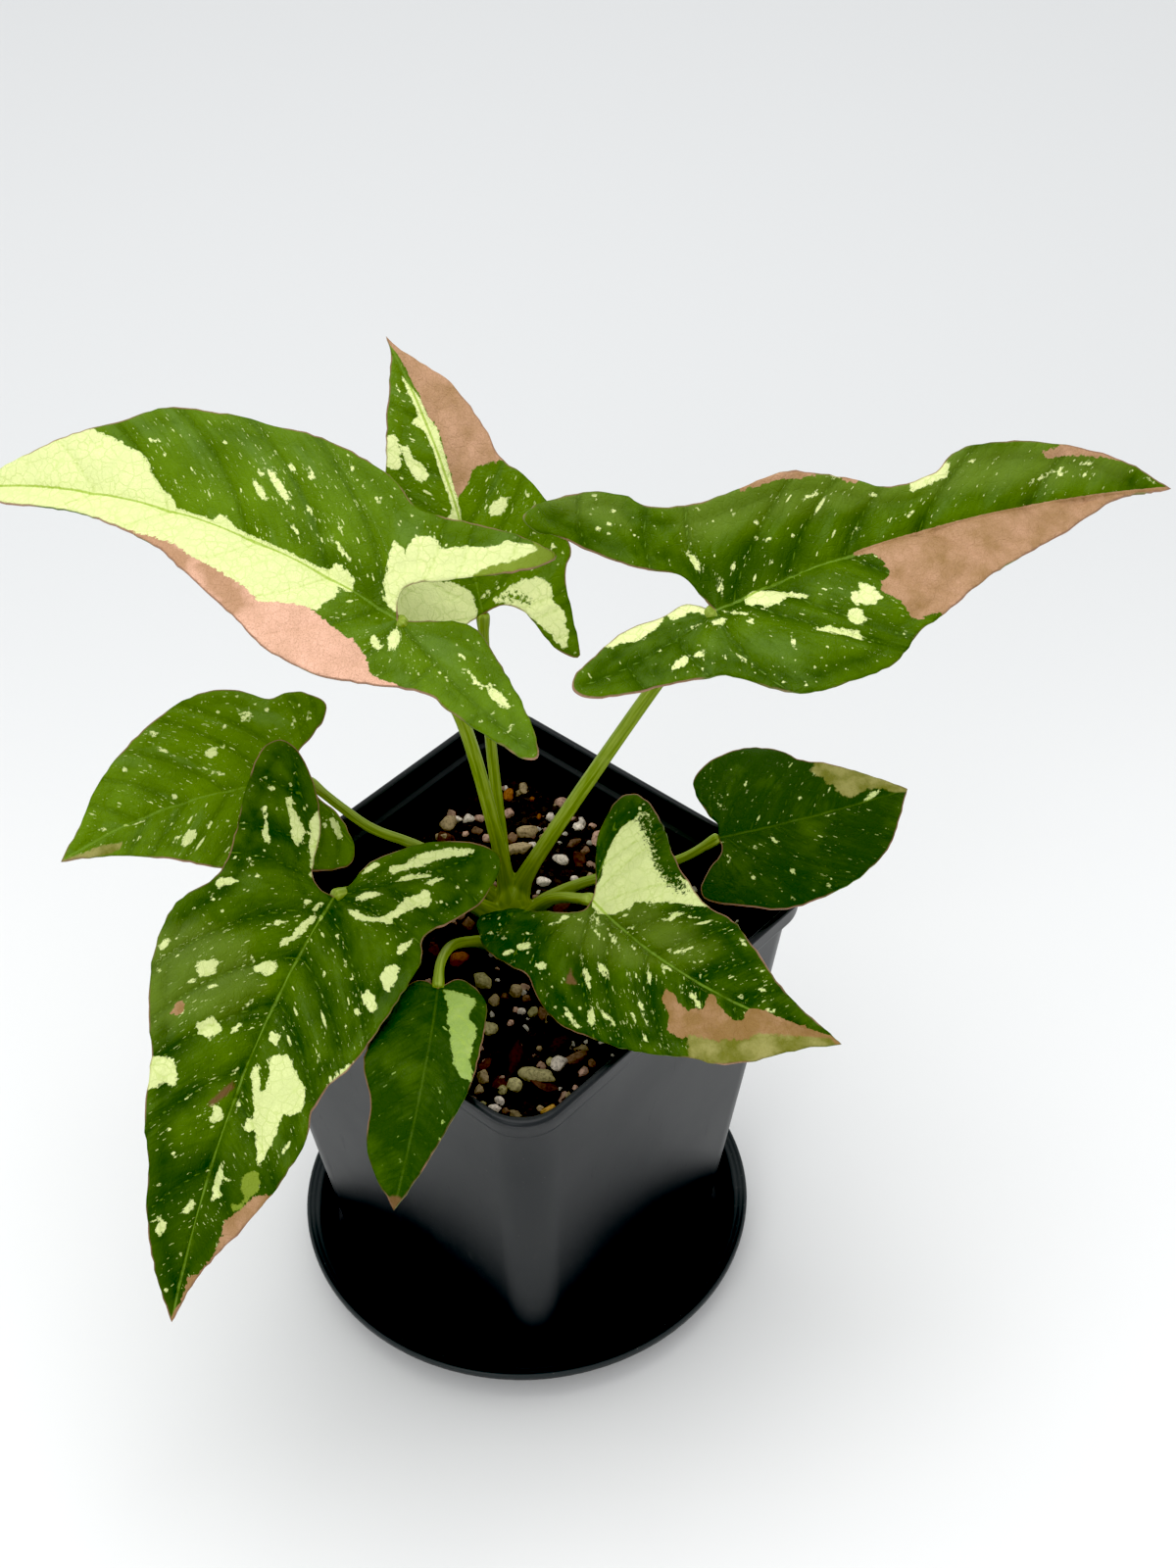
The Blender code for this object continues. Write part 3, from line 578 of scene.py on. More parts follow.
# %% Bend a blade
LOBE_LEVER = 0.35
MIDRIB_STATIONS = 61
MIDRIB_REACH = 1.15


def midrib_turns(blade, x):
    share = np.clip(x, 0, None) / blade["length"]
    bend = turn("z", radians(blade["bend"]) * share)
    arch = turn("y", -radians(blade["arch"]) * share)
    twist = turn("x", radians(blade["twist"]) * share)
    return bend @ arch @ twist


def blade_turn(blade):
    heading = turn("z", np.array(radians(blade["heading"])))
    rise = turn("y", np.array(-radians(blade["rise"])))
    roll = turn("x", np.array(radians(blade["roll"])))
    return heading @ rise @ roll


def blade_points(blade, flat, side):
    """Bend flat blade coordinates into the plant's place; side is 0 for left, 1 for right."""
    x, y = flat[:, 0], flat[:, 1]
    sign = 1 - 2 * side
    stations = np.linspace(0, MIDRIB_REACH * blade["length"], MIDRIB_STATIONS)
    tangent = midrib_turns(blade, stations)[:, :, 0]
    steps = (tangent[1:] + tangent[:-1]) / 2 * np.diff(stations)[:, None]
    line = np.vstack([np.zeros(3), np.cumsum(steps, axis=0)])
    forward = np.clip(x, 0, None)
    midrib = np.stack([np.interp(forward, stations, line[:, i]) for i in range(3)], axis=-1)
    out = sign * y
    reach = out / blade["half_width"]
    slope = np.radians(blade["fold"][side] + blade["curl"][side] * np.abs(reach) / 2)
    phase = radians(blade["wave_phase"][side])
    wave = blade["wave"][side] * reach ** 2 * np.sin(2 * pi * x / blade["wave_length"] + phase)
    behind = np.clip(-x, 0, None)
    lift = radians(blade["lobe"][side]) * behind / (2 * LOBE_LEVER * blade["length"])
    local = np.stack([-behind * np.cos(lift), y * np.cos(slope),
                      out * np.sin(slope) + wave + behind * np.sin(lift)], axis=-1)
    bent = midrib + np.einsum("nij,nj->ni", midrib_turns(blade, forward), local)
    return np.array(blade["joint"]) + bent @ blade_turn(blade).T


tip = blade_points(BLADES["leaf_right"], np.array([[BLADES["leaf_right"]["length"], 0.0]]), 0)[0]
print("the right leaf's tip is at", tip.round(1).tolist())

# %% [markdown]
# A blade's flat outline is filled with a regular net of points, less than a millimetre apart,
# and these are joined into triangles as even as they can be. Each half is filled on its own,
# because the lobes of a folded leaf may cross the midrib's line.

# %% Fill an outline
NET_SPACING = 0.8
NET_CLEARANCE = 0.45 * NET_SPACING
RIM_CRIMP = 0.16


def inside(outline, points):
    """True for the points inside a closed outline, by counting the edges to their right."""
    a, b = outline, np.roll(outline, -1, axis=0)
    x, y = points[:, :1], points[:, 1:]
    level = a[:, 1] == b[:, 1]
    climb = np.where(level, 1.0, b[:, 1] - a[:, 1])
    crossing = a[:, 0] + (y - a[:, 1]) * (b[:, 0] - a[:, 0]) / climb
    passed = ((a[:, 1] > y) != (b[:, 1] > y)) & (x < crossing)
    return passed.sum(axis=1) % 2 == 1


def even_steps(path, spacing):
    """The same path with points at equal distances."""
    lengths = np.concatenate([[0], np.cumsum(np.linalg.norm(np.diff(path, axis=0), axis=1))])
    marks = np.linspace(0, lengths[-1], max(3, int(lengths[-1] / spacing)))
    return np.stack([np.interp(marks, lengths, path[:, i]) for i in range(path.shape[1])], axis=-1)


def distance_to_path(points, path, closed=False):
    """The shortest distance from each point to a path of straight pieces."""
    a = path if closed else path[:-1]
    b = np.roll(path, -1, axis=0) if closed else path[1:]
    best = np.full(len(points), np.inf)
    for p, q in zip(a, b):
        d = q - p
        t = np.clip(((points - p) @ d) / max(d @ d, 1e-12), 0, 1)
        best = np.minimum(best, np.linalg.norm(points - p - t[:, None] * d, axis=1))
    return best


def rim_path(blade, key, steps):
    """The rim of one half as a curve from the joint round the lobe to the tip."""
    return smooth_path([(0, 0)] + blade[key] + [(blade["length"], 0)], steps)


def crimped(rim, seed):
    """The same rim with small irregular waves, as a living edge has."""
    draw = np.random.default_rng(seed)
    knots = draw.uniform(-1, 1, len(rim) // 2 + 3)
    wave = np.interp(np.arange(len(rim)) / 2, np.arange(len(knots)), knots)
    slope = np.gradient(rim, axis=0)
    normal = np.stack([slope[:, 1], -slope[:, 0]], axis=-1) / np.linalg.norm(slope, axis=1)[:, None]
    fade = np.minimum(1, np.minimum(np.arange(len(rim)), np.arange(len(rim))[::-1]) / 4)
    return rim + RIM_CRIMP * (wave * fade)[:, None] * normal


def half_net(blade, key):
    """Points, triangles and rim of one half of a flat blade."""
    rim = crimped(even_steps(rim_path(blade, key, 10), NET_SPACING), int(blade["length"] * 10))
    midrib = np.linspace(blade["length"], 0, int(blade["length"] / NET_SPACING))[1:-1]
    outline = np.vstack([rim, np.stack([midrib, 0 * midrib], axis=-1)])
    low, high = outline.min(axis=0), outline.max(axis=0)
    rows = np.arange(low[1], high[1], NET_SPACING * sin(pi / 3))
    net = np.array([(x + NET_SPACING / 2 * (i % 2), y) for i, y in enumerate(rows)
                    for x in np.arange(low[0], high[0], NET_SPACING)])
    net = net[inside(outline, net)]
    net = net[distance_to_path(net, outline, closed=True) > NET_CLEARANCE]
    points = [Vector(p) for p in np.vstack([outline, net])]
    result = delaunay_2d_cdt(points, [], [list(range(len(outline)))], 1, 1e-5)
    return np.array([tuple(p) for p in result[0]]), result[2], rim


flat, triangles, rim = half_net(BLADES["leaf_small_front"], "left")
print("half of the smallest blade:", len(flat), "points,", len(triangles), "triangles")

# %% [markdown]
# Veins. From the midrib, side veins leave at a steep angle and bow towards the tip. One runs
# out into each lobe and sends two branches sideways, and another leaves the joint itself. They
# are lines in the flat blade, and every point of the net later learns how far the nearest is.

# %% Veins of a half blade
SIDE_VEINS = (0.03, 0.15, 0.30, 0.47, 0.66)
LOBE_VEINS = (0.3, 0.62)
VEIN_LEAN = 0.65
VEIN_BOW = 0.022
LOBE_VEIN_BOW = 0.012


def half_veins(blade, key):
    """Lines of the side veins of one half, in flat coordinates."""
    side = 1 if key == "left" else -1
    length = blade["length"]
    rim = rim_path(blade, key, 6)
    lobe_tip = rim[int(np.argmin(rim[:, 0]))]
    draw = np.random.default_rng(int(10 * length) + side)
    veins = []
    for share in SIDE_VEINS:
        out = np.linspace(0, 34, 18)
        start = (share + draw.uniform(-0.03, 0.03)) * length
        lean = 0.55 + 0.5 * share + draw.uniform(-0.12, 0.12)
        veins.append(np.stack([start + lean * out + VEIN_BOW * out ** 2, side * out], axis=-1))
    middle = np.array([0.55 * lobe_tip[0], lobe_tip[1] * 0.62])
    rib = smooth_path([(0, 0), middle, 0.93 * lobe_tip], 6)
    veins.append(rib)
    for share in LOBE_VEINS:
        x, y = rib[int(share * (len(rib) - 1))]
        out = np.linspace(0, 26, 12)
        veins.append(np.stack([x + 0.05 * out + LOBE_VEIN_BOW * out ** 2, y + side * out], axis=-1))
    out = np.linspace(0, 34, 16)
    veins.append(np.stack([-0.12 * out + LOBE_VEIN_BOW * out ** 2, side * out], axis=-1))
    return veins


print("veins in one half:", len(half_veins(BLADES["leaf_right"], "left")))

# %% [markdown]
# Markings. The cream and pink patches are the plant's own: each is an outline in the flat
# coordinates of one half, and an oval has a place, two half widths and a turn in degrees. Like
# the blades' outlines, they were taken one by one from a picture and carried into the flat blade.
# Tan, olive, lime and brown tint smaller places, and the tan on the pink is painted shade;
# green cuts into the cream, and patches of painted sheen and painted shade lighten and darken
# the green softly. The net's points store how deep they lie inside a patch, and the material
# cuts the patch where that depth is zero, roughened by noise, so the edges stay crisp and torn
# at any size.

# %% Markings
# The sheen and shade outlines below are painted sheen and painted shade on the green, and the tan outlines
# are painted shade on the pink.
MARKINGS = {}
MARKINGS["leaf_upper_left", "left"] = {
    "cream": [
        [(14, -1), (118, -1), (118, 9), (68, 10), (45, 12), (27, 16), (16, 12), (15, 9), (14, 8.5),
         (14, 6.5), (13, 4), (13, 2.5), (14, 1)],
    ],
    "pink": [
        [(68.5, 7.5), (61.5, 8), (52, 8), (48.5, 8), (45.5, 9), (42, 9.5), (37, 10.5), (33, 11),
         (29.5, 11.5), (27.5, 12), (25.5, 13), (22.5, 11.5), (19, 10), (15, 9), (12, 9.5), (9, 10),
         (6, 10.5), (4, 10), (2.5, 11), (0, 11.5), (-1.5, 13), (-3, 14.5), (-5, 14), (-8, 13),
         (-10.5, 13.5), (-14.5, 11.5), (-16, 16), (-8, 18), (4, 25), (20, 27), (40, 24), (60, 14), (80, 9)],
    ],
    # Painted shade on the pink, where the blade turns away from the light.
    "tan": [
        [(43, 11), (35.5, 15.5), (29, 18), (25, 14.5), (32.5, 11), (40.5, 7.5)],
        [(70, 6), (43, 8), (43, 14), (60, 15), (80, 9)],
    ],
    "ovals": [
        (3.5, 2.5, 0.3, 0.5, -7), (0.5, 7.5, 1.6, 1.1, -19), (-2, 4.5, 3, 1.3, -68), (-6, -3, 0.4, 0.3, 6),
        (-4, 0, 0.4, 0.3, 28), (-21, 3, 2.4, 0.5, -28), (-26.5, 3.5, 3.5, 1.2, -20),
        (-15.5, -0.5, 0.7, 0.5, -25), (-13, -2.5, 0.3, 0.4, 0), (-17.5, 5.5, 0.4, 0.4, -16),
        (-24.5, 1, 0.4, 0.3, -10),
    ],
}
MARKINGS["leaf_upper_left", "right"] = {
    "lime": [
        [(-13, -29), (-17, -30), (-21, -28.5), (-21.5, -25), (-19.5, -22.5), (-16, -19.5), (-11.5, -15.5),
         (-7, -13.5), (-8.5, -18), (-12, -22), (-14.5, -25), (-15.5, -27)],
    ],
    "painted_shade": [
        [(28, -5.5), (18, -6), (5.5, -6.5), (5.5, -0.5), (20.5, -0.5)],
    ],
    "cream": [
        [(53.5, 1), (53.5, -0.5), (55.5, -3), (58, -4), (60, -5.5), (62, -7), (63.5, -9), (65.5, -10.5),
         (69, -11), (71, -12), (75.5, -13), (78, -13.5), (90, -14), (118, -10), (118, 1)],
        [(46, 1), (43.5, -3), (41, -2), (36, 1)],
        [(20, 1), (20, -1), (17, -2), (17.5, -3.5), (15.5, -3.5), (12, -2.5), (11, -0.5), (11, 1)],
        [(1.5, -1), (4, -1.5), (6, -3.5), (7.5, -7.5), (9, -11), (9, -13.5), (6, -12.5), (6.5, -14.5),
         (6, -16.5), (3, -18.5), (0.5, -17), (-1, -19), (-5, -21.5), (-7, -23), (-9.5, -26), (-12, -27),
         (-15, -28), (-18, -28), (-24, -31), (-22, -22), (-8, -10), (-1, -6), (0, -2)],
    ],
    "ovals": [
        (34.5, -12.5, 5, 0.8, -33), (37.5, -10, 2.6, 0.8, -37), (39, -13.5, 0.9, 0.3, -34),
        (34, -17, 1.6, 0.5, -43), (30, -17.5, 1.5, 0.5, -48), (27, -10.5, 1.5, 0.3, -38),
        (28.5, -6, 1.3, 0.3, -29), (19.5, -10, 1.4, 0.3, -38), (17.5, -6.5, 3.2, 0.5, -25),
        (24, -22.5, 0.7, 0.3, -40), (16, -19, 0.7, 0.4, -52), (23, -11, 0.5, 0.3, -22),
        (63, -13.5, 1.1, 0.4, 3), (60, -13, 0.6, 0.3, -11), (60, -11, 0.4, 0.3, -43),
        (41.5, -8.5, 0.3, 0.5, 11), (42, -18.5, 0.5, 0.3, -24), (48.5, -17, 0.5, 0.3, -7),
        (38.5, -18.5, 0.4, 0.3, -30),
    ],
}
MARKINGS["leaf_right", "left"] = {
    "painted_sheen": [
        [(1.5, 23), (9, 26.5), (23.5, 21.5), (43.5, 21.5), (64, 14), (95, 8), (92, 2), (41, 8), (20, 11.5),
         (0, 14.5)],
        [(-25, 33), (-12.5, 37), (-6.5, 30.5), (-9, 24.5), (-18.5, 26.5), (-26, 28.5)],
    ],
    "painted_shade": [
        [(-3.5, 11.5), (11.5, 11), (24.5, 5), (24, 0.5), (2, 0.5)],
    ],
    "pink": [
        [(74, 10.5), (76.5, 11), (80, 11.5), (83, 14), (95, 12), (92.5, 6.5), (88, 8), (84.5, 8.5),
         (80.5, 9), (76.5, 9)],
        [(14, 19.5), (14, 22), (20, 23), (30, 20), (28.5, 17.5), (25, 18), (19.5, 19), (17.5, 19)],
        [(33, 15.5), (36, 18), (40, 15), (36, 14)],
    ],
    "cream": [
        [(46.5, 14), (51, 14), (56, 13), (54.5, 10), (51.5, 9.5), (46.5, 9)],
    ],
    "ovals": [
        (39, 10.5, 0.6, 0.4, -16), (44.5, 4.5, 1.5, 0.3, 17), (75.5, 6, 3.5, 0.3, 14),
        (84, 7, 1.4, 0.3, 0), (83.5, 5, 1.3, 0.3, 3), (97.5, 2.5, 1.8, 0.3, -31), (60, 12, 0.5, 0.3, -9),
        (32.5, 16, 1.7, 0.3, -24), (33.5, 5, 0.5, 0.3, 3), (78, 5.5, 0.4, 0.3, 11), (27, 14, 2.1, 0.5, 5),
        (11, 16, 0.8, 0.5, 89), (15, 12.5, 0.7, 0.4, -60), (5, 20.5, 0.6, 0.3, -42),
        (0.5, 11, 2.7, 0.7, -77), (3, 4, 1.5, 0.6, 74), (7, 6.5, 1.3, 0.3, 46), (-13, 25, 0.7, 0.3, -16),
        (-15.5, 24, 0.4, 0.3, -17), (14.5, 4.5, 0.7, 0.3, 26), (20.5, 7.5, 0.4, 0.4, -20),
        (0.5, 14, 0.5, 0.3, -72), (15.5, 9, 2, 0.3, -21),
    ],
}
MARKINGS["leaf_right", "right"] = {
    "painted_shade": [
        [(2, -0.5), (24, -0.5), (25, -4), (12.5, -6.5), (3, -4)],
    ],
    "pink": [
        [(31, 0.5), (31, 0), (34.5, -1.5), (35.5, -3), (36.5, -6.5), (35.5, -8), (33.5, -8.5), (32.5, -11),
         (34.5, -13), (36, -15.5), (36.5, -18), (37.5, -19), (40.5, -18.5), (42.5, -19), (46, -24),
         (70, -16), (95, -8), (110, -2), (110, 0.5)],
    ],
    "cream": [
        [(6.5, 0), (8.5, 0.5), (11, -0.5), (14.5, -2.5), (17, -4.5), (18.5, -6), (18.5, -6.5), (16, -5),
         (14.5, -4), (13.5, -5), (12, -5.5), (10.5, -4.5), (9, -5), (9, -3.5), (7, -2.5), (6, -1.5)],
        [(18, -14), (19.5, -14), (20.5, -15), (24.5, -17.5), (25.5, -19), (24, -19), (22, -17.5),
         (19, -16), (15, -13.5)],
        [(29, -7.5), (31, -9), (32, -11), (32, -12.5), (30, -13), (28, -12.5), (26, -11.5), (26, -10),
         (26.5, -9), (28, -9.5)],
        [(24.5, -12), (26.5, -12.5), (27.5, -14.5), (27.5, -15.5), (25, -16), (23.5, -14.5)],
        [(-15, -10), (-13, -8.5), (-10.5, -7.5), (-9.5, -7.5), (-10.5, -9.5), (-12.5, -10)],
        [(-24, 0), (-30, 5), (-18, 8), (-8, 8), (-10, 3.5), (-11.5, 2), (-15, 0.5), (-18, 0), (-21, 0.5)],
        [(-9.5, 3), (-9, 8), (-2, 8), (0.5, 1), (-1.5, -1), (-2.5, 0.5), (-4.5, 2), (-7, 2), (-8.5, 2)],
    ],
    "ovals": [
        (-0.5, -3, 1.5, 0.9, -18), (5, -7, 0.9, 0.6, -44), (3.5, -3, 2.9, 0.3, -44),
        (10.5, -15, 1.5, 0.4, 73), (0, -14.5, 2.1, 0.3, -68), (-7.5, -9, 1.2, 0.7, -14),
        (-17, -7.5, 0.3, 0.4, -22), (-3, -12, 0.4, 0.3, -72), (-4.5, -1.5, 1.5, 0.3, -4),
        (28, 0, 0.3, 0.4, -42), (32, -0.5, 0.4, 0.3, -24), (27, -18, 0.4, 0.3, 84),
        (34, -20.5, 0.5, 0.3, 90),
    ],
}
MARKINGS["leaf_back", "left"] = {
    "cream": [
        [(43, 13), (43, 7.5), (39, 7.5), (35, 9), (35, 10), (38, 14)],
        [(40, 7.5), (39.5, 6), (36.5, 5.5), (34.5, 4), (32, 3.5), (30.5, 5), (32, 7), (35, 7.5),
         (38.5, 7.5)],
        [(45.5, 1), (44.5, 0.5), (39, -0.5), (38, 0.5), (41, 1), (44, 3)],
        [(24, 0.5), (20.5, -0.5), (19.5, 2.5), (21.5, 3)],
        [(12, 19), (11, 14), (9.5, 9.5), (8, 5), (5.5, 1.5), (1, 1), (-2, 2), (-5, 7), (-7, 14), (-4, 20),
         (6, 21.5)],
    ],
    "ovals": [
        (53, 3, 0.9, 0.3, 2), (28, 9, 0.5, 0.3, 15), (33, 9.5, 0.6, 0.3, 45), (26, 6, 0.4, 0.3, 28),
    ],
}
MARKINGS["leaf_back", "right"] = {
    "pink": [
        [(66, 1), (59.5, -0.5), (48.5, -1), (44.5, -1), (41, -2), (35.5, -1.5), (30, -1), (25.5, -1),
         (26, -1.5), (27, -3.5), (29.5, -5.5), (30.5, -6.5), (30.5, -9.5), (30, -11), (30.5, -16),
         (50, -14), (66, -6)],
    ],
    "cream": [
        [(56, 1), (21, 1), (21, -0.5), (25.5, -1), (30, -1), (35.5, -1.5), (41, -2), (44.5, -1), (48.5, -1)],
        [(21.5, -6.5), (22.5, -8.5), (23, -10), (22.5, -11.5), (20.5, -10.5), (19, -8.5), (20, -6.5)],
        [(2.5, -2.5), (4.5, -6.5), (5.5, -10), (5, -14), (3.5, -15.5), (0, -15.5), (-3, -17.5),
         (-5.5, -17), (-8, -17.5), (-11, -16), (-10, -15), (-7, -13.5), (-4.5, -11.5), (-2, -9), (1, -5.5),
         (2, -3)],
    ],
    "green": [
        [(3, -5), (3, -7.5), (1.5, -10.5), (0.5, -10), (2, -7), (2.5, -5.5)],
    ],
    "ovals": [
        (27, -8, 1, 0.3, -49), (14, -14.5, 0.7, 0.3, 73), (10.5, -18, 0.5, 0.6, 67),
        (4, -1.5, 1.8, 0.3, -69), (22, -15.5, 0.8, 0.3, 5),
    ],
}
MARKINGS["leaf_centre", "left"] = {
    "cream": [
        [(-1, -1), (-1.5, 2), (-2, 5), (-4, 7), (-6, 10), (-7, 13), (-8, 16), (-7.5, 18.5), (-8, 21),
         (-7, 22.5), (-3.5, 21), (-0.5, 20.5), (3.5, 19), (7, 18), (9.5, 17.5), (13.5, 16.5), (19.5, 17.5),
         (27, 17), (27, 15), (25.5, 14.5), (21.5, 12.5), (19, 12), (15, 9), (10, 6.5), (10.5, 4.5),
         (8.5, 3), (8, 1.5), (4, -1)],
    ],
    "green": [
        [(-8, 22), (-1, 21), (7.5, 19.5), (14, 17), (19, 15), (16.5, 14), (13, 14), (8, 15), (3.5, 17),
         (-2.5, 18.5), (-6.5, 19.5)],
    ],
    "painted_sheen": [
        [(0, 0.5), (6.5, 7), (23.5, 9.5), (34, 8), (28, 0.5)],
    ],
    "ovals": [
        (20, 9, 2.3, 0.8, 53), (24, 11, 1.6, 0.3, 18), (26.5, 3.5, 2, 0.5, 27), (39.5, 12, 1.2, 0.5, -17),
        (46, 8.5, 0.7, 0.3, -11), (48, 5, 0.7, 0.5, 11), (44, 1.5, 0.6, 0.3, -1),
        (51.5, 1.5, 0.7, 0.3, 22), (13, 1.5, 0.7, 0.3, 24), (31, 3.5, 0.4, 0.3, 0),
        (33.5, 1.5, 0.4, 0.3, -14), (40.5, 8.5, 0.5, 0.3, -9),
    ],
}
MARKINGS["leaf_centre", "right"] = {
    "painted_sheen": [
        [(0, -0.5), (24, -0.5), (19.5, -5), (9, -10), (-5, -10.5), (-12, -4.5)],
    ],
    "pink": [
        [(29, -5), (31.5, -5), (33.5, -6), (36, -6.5), (38, -4.5), (37.5, -0.5), (39, -1), (40.5, -2),
         (42.5, -3), (45.5, -3.5), (47, -2.5), (46.5, 0), (49, 1), (72, 1), (72, -6), (55, -12), (44, -18),
         (42, -15), (39, -11.5), (37, -12.5), (34.5, -12), (34, -10.5), (32, -8.5), (30, -7.5)],
    ],
    "olive": [
        [(38.5, -11), (44.5, -9), (49, -6.5), (51.5, -4), (58, -1.5), (65.5, 0.5), (72, -4), (55, -14),
         (44, -20), (41, -15)],
    ],
    "brown": [
        [(9.5, -14), (12.5, -15.5), (11, -17)],
    ],
    "ovals": [
        (11.5, -3, 2.4, 0.5, -21), (6, -2.5, 1.5, 0.3, -21), (4, -3, 0.8, 0.3, -27),
        (8, -4.5, 0.9, 0.3, -22), (9, -10.5, 0.8, 0.4, -34), (13.5, -13, 2.5, 0.8, -28),
        (15, -9.5, 1.9, 0.7, -18), (24, -4.5, 2.1, 0.5, -43), (25, -1.5, 1.4, 0.4, -29),
        (26.5, -1, 1.2, 0.4, -15), (17.5, -2, 1, 0.3, -29), (21, -7.5, 0.7, 0.3, -28),
        (15, -21.5, 1.5, 0.7, -18), (17.5, -22, 1.6, 0.4, -5), (19.5, -19, 2.1, 1, -49),
        (22.5, -17, 1.9, 0.5, -11), (28, -11.5, 2, 0.4, -36), (27.5, -14, 1, 0.3, -42),
        (35.5, -3.5, 2.3, 0.5, -24), (32, -3.5, 0.8, 0.3, -45), (35.5, 1, 1.1, 0.3, -1),
        (31.5, -16, 1, 0.3, -44), (30, -10.5, 0.6, 0.3, -41), (9, -21.5, 0.5, 0.3, -36),
        (26.5, -15.5, 1.2, 0.3, 56), (-1.5, -18, 1.7, 1.1, 45), (-3, -21.5, 1.4, 0.6, 55),
        (-0.5, -22, 1, 0.3, 71), (-9.5, -20.5, 1.3, 0.3, 38), (-6, -19.5, 0.7, 0.3, 35),
        (4.5, -18, 1.3, 0.8, 37), (-14, -20, 0.4, 0.3, 38), (-3, -15, 1.1, 0.3, 46),
        (-1, -9.5, 0.9, 0.3, 61), (-0.5, -7, 1.2, 0.4, 52), (2.5, -5, 0.6, 0.3, 30),
        (-12.5, -24, 0.8, 0.3, 25),
    ],
}
MARKINGS["leaf_front_left", "left"] = {
    "cream": [
        [(39.5, 4.5), (39, 4.5), (38.5, 6), (37.5, 7.5), (38, 8.5), (39.5, 9.5), (41, 11), (41.5, 12),
         (43.5, 14), (47, 15), (48.5, 14.5), (49.5, 13), (50, 11.5), (52, 11.5), (54.5, 11.5), (57.5, 11),
         (59, 10.5), (62, 10.5), (61, 9.5), (58, 8), (54.5, 6.5), (55.5, 5.5), (55.5, 4.5), (54.5, 4),
         (53, 4), (52.5, 5), (50.5, 5), (48.5, 4), (45.5, 2.5), (43, 1.5), (41.5, 2), (41.5, 3), (46.5, 5),
         (46.5, 6), (44.5, 6), (42.5, 5.5)],
        [(34.5, 2), (34, 2.5), (34, 4), (36.5, 5), (37, 4.5), (36, 2.5)],
        [(42, 18), (39.5, 18), (37, 19), (35, 20.5), (35.5, 21), (37.5, 19.5), (40, 18.5)],
        [(-1, 4.5), (-3.5, 5.5), (-4.5, 8), (-4, 9.5), (-2.5, 8), (-1, 6)],
        [(2.5, 4.5), (1.5, 6.5), (2, 8), (2, 11), (0, 12.5), (-1.5, 14), (-4.5, 14.5), (-6, 14),
         (-7.5, 16.5), (-9.5, 16.5), (-9.5, 18.5), (-7.5, 20), (-6, 19.5), (-5, 17.5), (-3, 17), (0, 15),
         (2, 14.5), (2.5, 12.5), (4, 9.5), (4, 7.5), (3, 5.5)],
        [(-7, 3), (-9, 2.5), (-11, 3.5), (-12, 5), (-10.5, 5), (-9, 4.5)],
        [(-11.5, 7.5), (-14, 10.5), (-16.5, 11.5), (-19, 14.5), (-21, 17.5), (-23, 21.5), (-23, 22.5),
         (-22, 22.5), (-20, 19.5), (-17.5, 16.5), (-14, 13.5), (-11.5, 10.5), (-9.5, 9)],
        [(-8.5, 10), (-11.5, 12), (-14, 16.5), (-13, 16.5), (-11, 13.5), (-9, 11.5)],
        [(-10.5, 16.5), (-13, 17.5), (-15, 20), (-13.5, 19), (-11, 18)],
        [(8.5, 19.5), (6, 19), (2.5, 21), (5, 21), (8.5, 20.5)],
        [(14.5, 18.5), (11.5, 19), (10, 20.5), (11, 21.5), (15, 22), (17.5, 22), (16.5, 20.5), (15.5, 19)],
        [(20, 16.5), (18, 17.5), (19, 19.5), (21, 21), (22.5, 20.5), (22, 19)],
        [(42, 18), (44, 20), (35, 24), (34, 21), (37.5, 19.5), (40, 18.5)],
    ],
    "painted_shade": [
        [(60, 0), (64, 16), (101, 8), (101, 0)],
    ],
    "lime": [
        [(65.5, 7.5), (63.5, 8), (62.5, 10), (64, 11), (66.5, 11.5), (68, 10), (69.5, 9.5), (71, 9),
         (72, 7.5), (71, 6.5), (70, 8.5), (68.5, 9), (67, 8)],
    ],
    "pink": [
        [(73, 7), (72, 8), (70, 9.5), (67.5, 11), (66, 16), (74, 14), (84, 8), (100, 4), (101, -1),
         (95, 0), (93, 1), (87.5, 1.5), (86, 3.5), (82.5, 5.5), (77.5, 6.5), (75, 6)],
    ],
    "ovals": [
        (23.5, 17.5, 0.7, 0.7, -66), (24.5, 15.5, 0.3, 0.5, -67), (14.5, 10, 1.2, 0.4, 48),
        (18.5, 7.5, 0.4, 0.7, -69), (17, 13, 0.3, 0.4, -68), (13, 6.5, 0.7, 0.3, 46),
        (9, 5.5, 0.7, 0.3, 8), (34.5, 6.5, 0.9, 0.3, 46), (56.5, 14, 1.5, 0.4, -23),
        (35.5, 13.5, 0.4, 0.3, 40), (27.5, 16.5, 0.4, 0.3, 37), (66, 4.5, 0.8, 0.4, -74),
    ],
}
